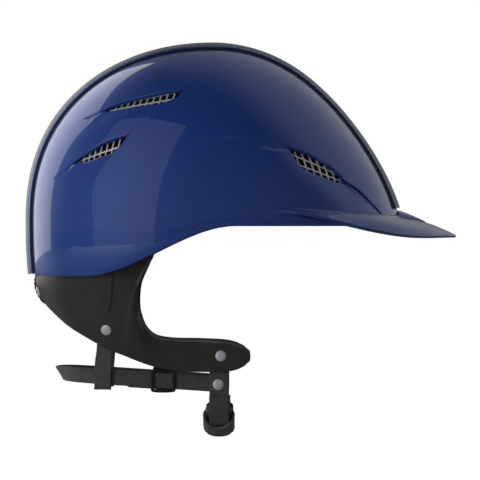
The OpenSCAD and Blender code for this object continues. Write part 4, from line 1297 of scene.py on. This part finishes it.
def make_chin_pad():
    """Soft inner cushion against the chin."""
    i = ends(0, 1, 90, 0.75)[:, None]
    u = mix(0.122, 0.848, i)
    half = 10.4 * np.maximum(0.03, 1 - np.abs(2 * i - 1) ** 9) ** 0.5
    q = np.linspace(-1, 1, 25)[None, :]
    edge = np.abs(q) ** 6
    dimple = 0.45 * np.exp(-(q / 0.10) ** 2) * ramp(1 - np.abs(2 * i - 1), 0.05, 0.2)
    puff = 0.35 * np.abs(np.sin(9 * math.pi * i)) ** 0.6
    curl = -3.6 * np.abs(q) ** 5
    top = on_sling(u, q * half, -5.2 + 0.9 * edge + dimple + 0.25 - puff + curl)
    under = on_sling(u, (q * half)[:, ::-1], (-1.6 - 0.5 * edge + curl + 0 * i)[:, ::-1])
    s = Skin()
    s.tube(np.concatenate([top, under], 1))
    pad = s.build("chin_cushion", [PAD_HIDE], "chin_lower", "chin_pad", 60, ["chin_pad"])


COVER = [(-10.5, -7.4), (-10.7, -4.6), (-9.6, -1.3), (-7.2, 1.0), (-3.8, 2.1), (0, 2.4), (3.8, 2.1),
         (7.2, 1.0), (9.6, -1.3), (10.7, -4.6), (10.5, -7.4)]


def make_chin_cover():
    """Outer sleeve sewn round the strap, open at the top like a pocket."""
    j = np.linspace(0, 1, 45)
    prof = flow(COVER, j)
    i = ends(0, 1, 100, 0.7)[:, None]
    x, d = prof[:, 0][None, :], prof[:, 1][None, :]
    start = 0.215 + 0.07 * (1 - (x / 10.7) ** 2)
    u = mix(start, 0.83, i)
    roll = 0.35 * np.exp(-(np.minimum(i, 1 - i) / 0.02) ** 2)
    out = on_sling(u, x * (1 + 0.01 * roll), d + 0.72 + roll)
    inner = on_sling(u, x * 0.94, d - 0.72)
    out[..., 0] += 0.62 * np.sign(x) * (np.abs(x) > 9.5)  # the open edges flare a little
    s = Skin()
    s.slab(out, inner)
    # the sleeve's light grey leather is painted light on its outer wall
    cover = s.build("chin_sleeve", [LIT_COVER_HIDE], "chin_lower", "chin_pad", 60, ["chin_pad_cover"])
    for word, k in (("front", 1), ("rear", -1)):
        row = on_sling(np.linspace(0.27, 0.81, 120), k * 8.0, 1.22)
        stitches("sleeve_stitches_" + word, row, np.tile([0.0, 0, -1], (120, 1)), 2.2, 1.2, 0.26,
                 "chin_lower", slot="chin_pad")


# ------------------------------------------------- pieces kept from the CAD
def make_small_parts():
    dress(NODES["pad_tabs"], HOOK, 0.2, 2, 30)
    dress(NODES["harness_anchors"], HIDE, 0.2, 2, 30)


# --------------------------------------------------------------------- stage
CAMERA_AT, CAMERA_LENS = (0.01584, -6.0, -0.01008), 625.0


def make_camera():
    """Level view from the wearer's right, looking along +Y."""
    cam = bpy.data.cameras.new("camera")
    obj = bpy.data.objects.new("camera", cam)
    obj.location = CAMERA_AT
    obj.rotation_euler = (math.pi / 2, 0, 0)
    cam.sensor_width = 36
    cam.lens = CAMERA_LENS
    cam.clip_end = 100
    bpy.context.collection.objects.link(obj)
    bpy.context.scene.camera = obj


LIT_POINT = Vector((0, 0, 0.03))


def softbox(name, azimuth, elevation, distance, size, radiance, diffuse=True, glossy=True):
    """Area light facing the helmet; azimuth 0 is the camera's side and 90 the wearer's front."""
    light = bpy.data.lights.new(name, "AREA")
    light.shape = "RECTANGLE"
    light.size, light.size_y = size
    light.energy = radiance * math.pi * size[0] * size[1]
    obj = bpy.data.objects.new(name, light)
    bpy.context.collection.objects.link(obj)
    a, e = math.radians(azimuth), math.radians(elevation)
    out = Vector((math.sin(a) * math.cos(e), -math.cos(a) * math.cos(e), math.sin(e)))
    obj.location = LIT_POINT + out * distance
    obj.rotation_euler = (-out).to_track_quat("-Z", "Y").to_euler()
    obj.visible_camera = False
    obj.visible_diffuse = diffuse
    obj.visible_glossy = glossy


def make_lights():
    softbox("rear_softbox", -132, 19, 2.6, (2.4, 3.1), 1.6, diffuse=False)
    softbox("side_softbox", -42, 24, 2.2, (1.7, 2.5), 0.42)
    softbox("side_wash", -58, 2, 2.6, (2.2, 1.6), 2.3, glossy=False)


FLOOR_SIZE, FLOOR_GAP = 14, 0.004


def make_floor():
    """Pale floor just under the helmet; the camera sees it evenly lit."""
    size, z = FLOOR_SIZE, CAD_BOX[0][2] - FLOOR_GAP
    me = bpy.data.meshes.new("floor")
    corners = [(-size, -size, z), (size, -size, z), (size, size, z), (-size, size, z)]
    me.from_pydata(corners, [], [(0, 1, 2, 3)])
    floor = bpy.data.objects.new("floor", me)
    bpy.context.collection.objects.link(floor)
    look = Look("floor", Roughness=0.7)
    look.colour(look.noise(400, 2), (0.3, 0.86), (0.7, 0.9))
    look.shader.inputs["Emission Color"].default_value = (1, 1, 1, 1)
    glow = look.math("MULTIPLY", look.node("LightPath").outputs["Is Camera Ray"], 0.93)
    look.link(glow, look.shader.inputs["Emission Strength"])
    me.materials.append(look.mat)


GLOW_DIRECTION = (0.709, 0.41, 0.574)


def make_world():
    """White background; to the helmet the room is dim, a little lighter low down, with a soft grey
    glow ahead that only its gloss reflects."""
    world = bpy.data.worlds.new("studio")
    bpy.context.scene.world = world
    world.use_nodes = True
    w = Tree(world.node_tree)
    where = w.node("TexCoord").outputs["Generated"]
    height = w.node("SeparateXYZ")
    w.link(where, height.inputs[0])
    ray = w.node("LightPath").outputs
    ahead = w.node("VectorMath", operation="DOT_PRODUCT")
    ahead.inputs[1].default_value = GLOW_DIRECTION
    w.link(where, ahead.inputs[0])
    glow = w.ranged(ahead.outputs["Value"], 0.45, 0.9, 0.0, 0.42, "SMOOTHSTEP")
    glow = w.math("MULTIPLY", glow, ray["Is Glossy Ray"])
    dim = w.ranged(height.outputs["Z"], -0.1, 0.75, 0.20, 0.03)
    room = w.math("ADD", dim, glow)
    back = world.node_tree.nodes["Background"]
    back.inputs["Color"].default_value = (1, 1, 1, 1)
    w.link(w.math("MAXIMUM", room, ray["Is Camera Ray"]), back.inputs["Strength"])
    bpy.context.scene.view_settings.view_transform = "Standard"


make_camera()
make_shell()
make_band()
make_peak()
make_scoop()
make_grilles()
make_headband()
make_crown_pad()
make_panels()
make_tongues()
make_nape()
make_rivets()
make_neck_strap()
make_tails()
make_drop_straps()
make_chin_straps()
make_sliders()
make_buckle()
make_chin_pad()
make_chin_cover()
make_small_parts()
make_lights()
make_floor()
make_world()
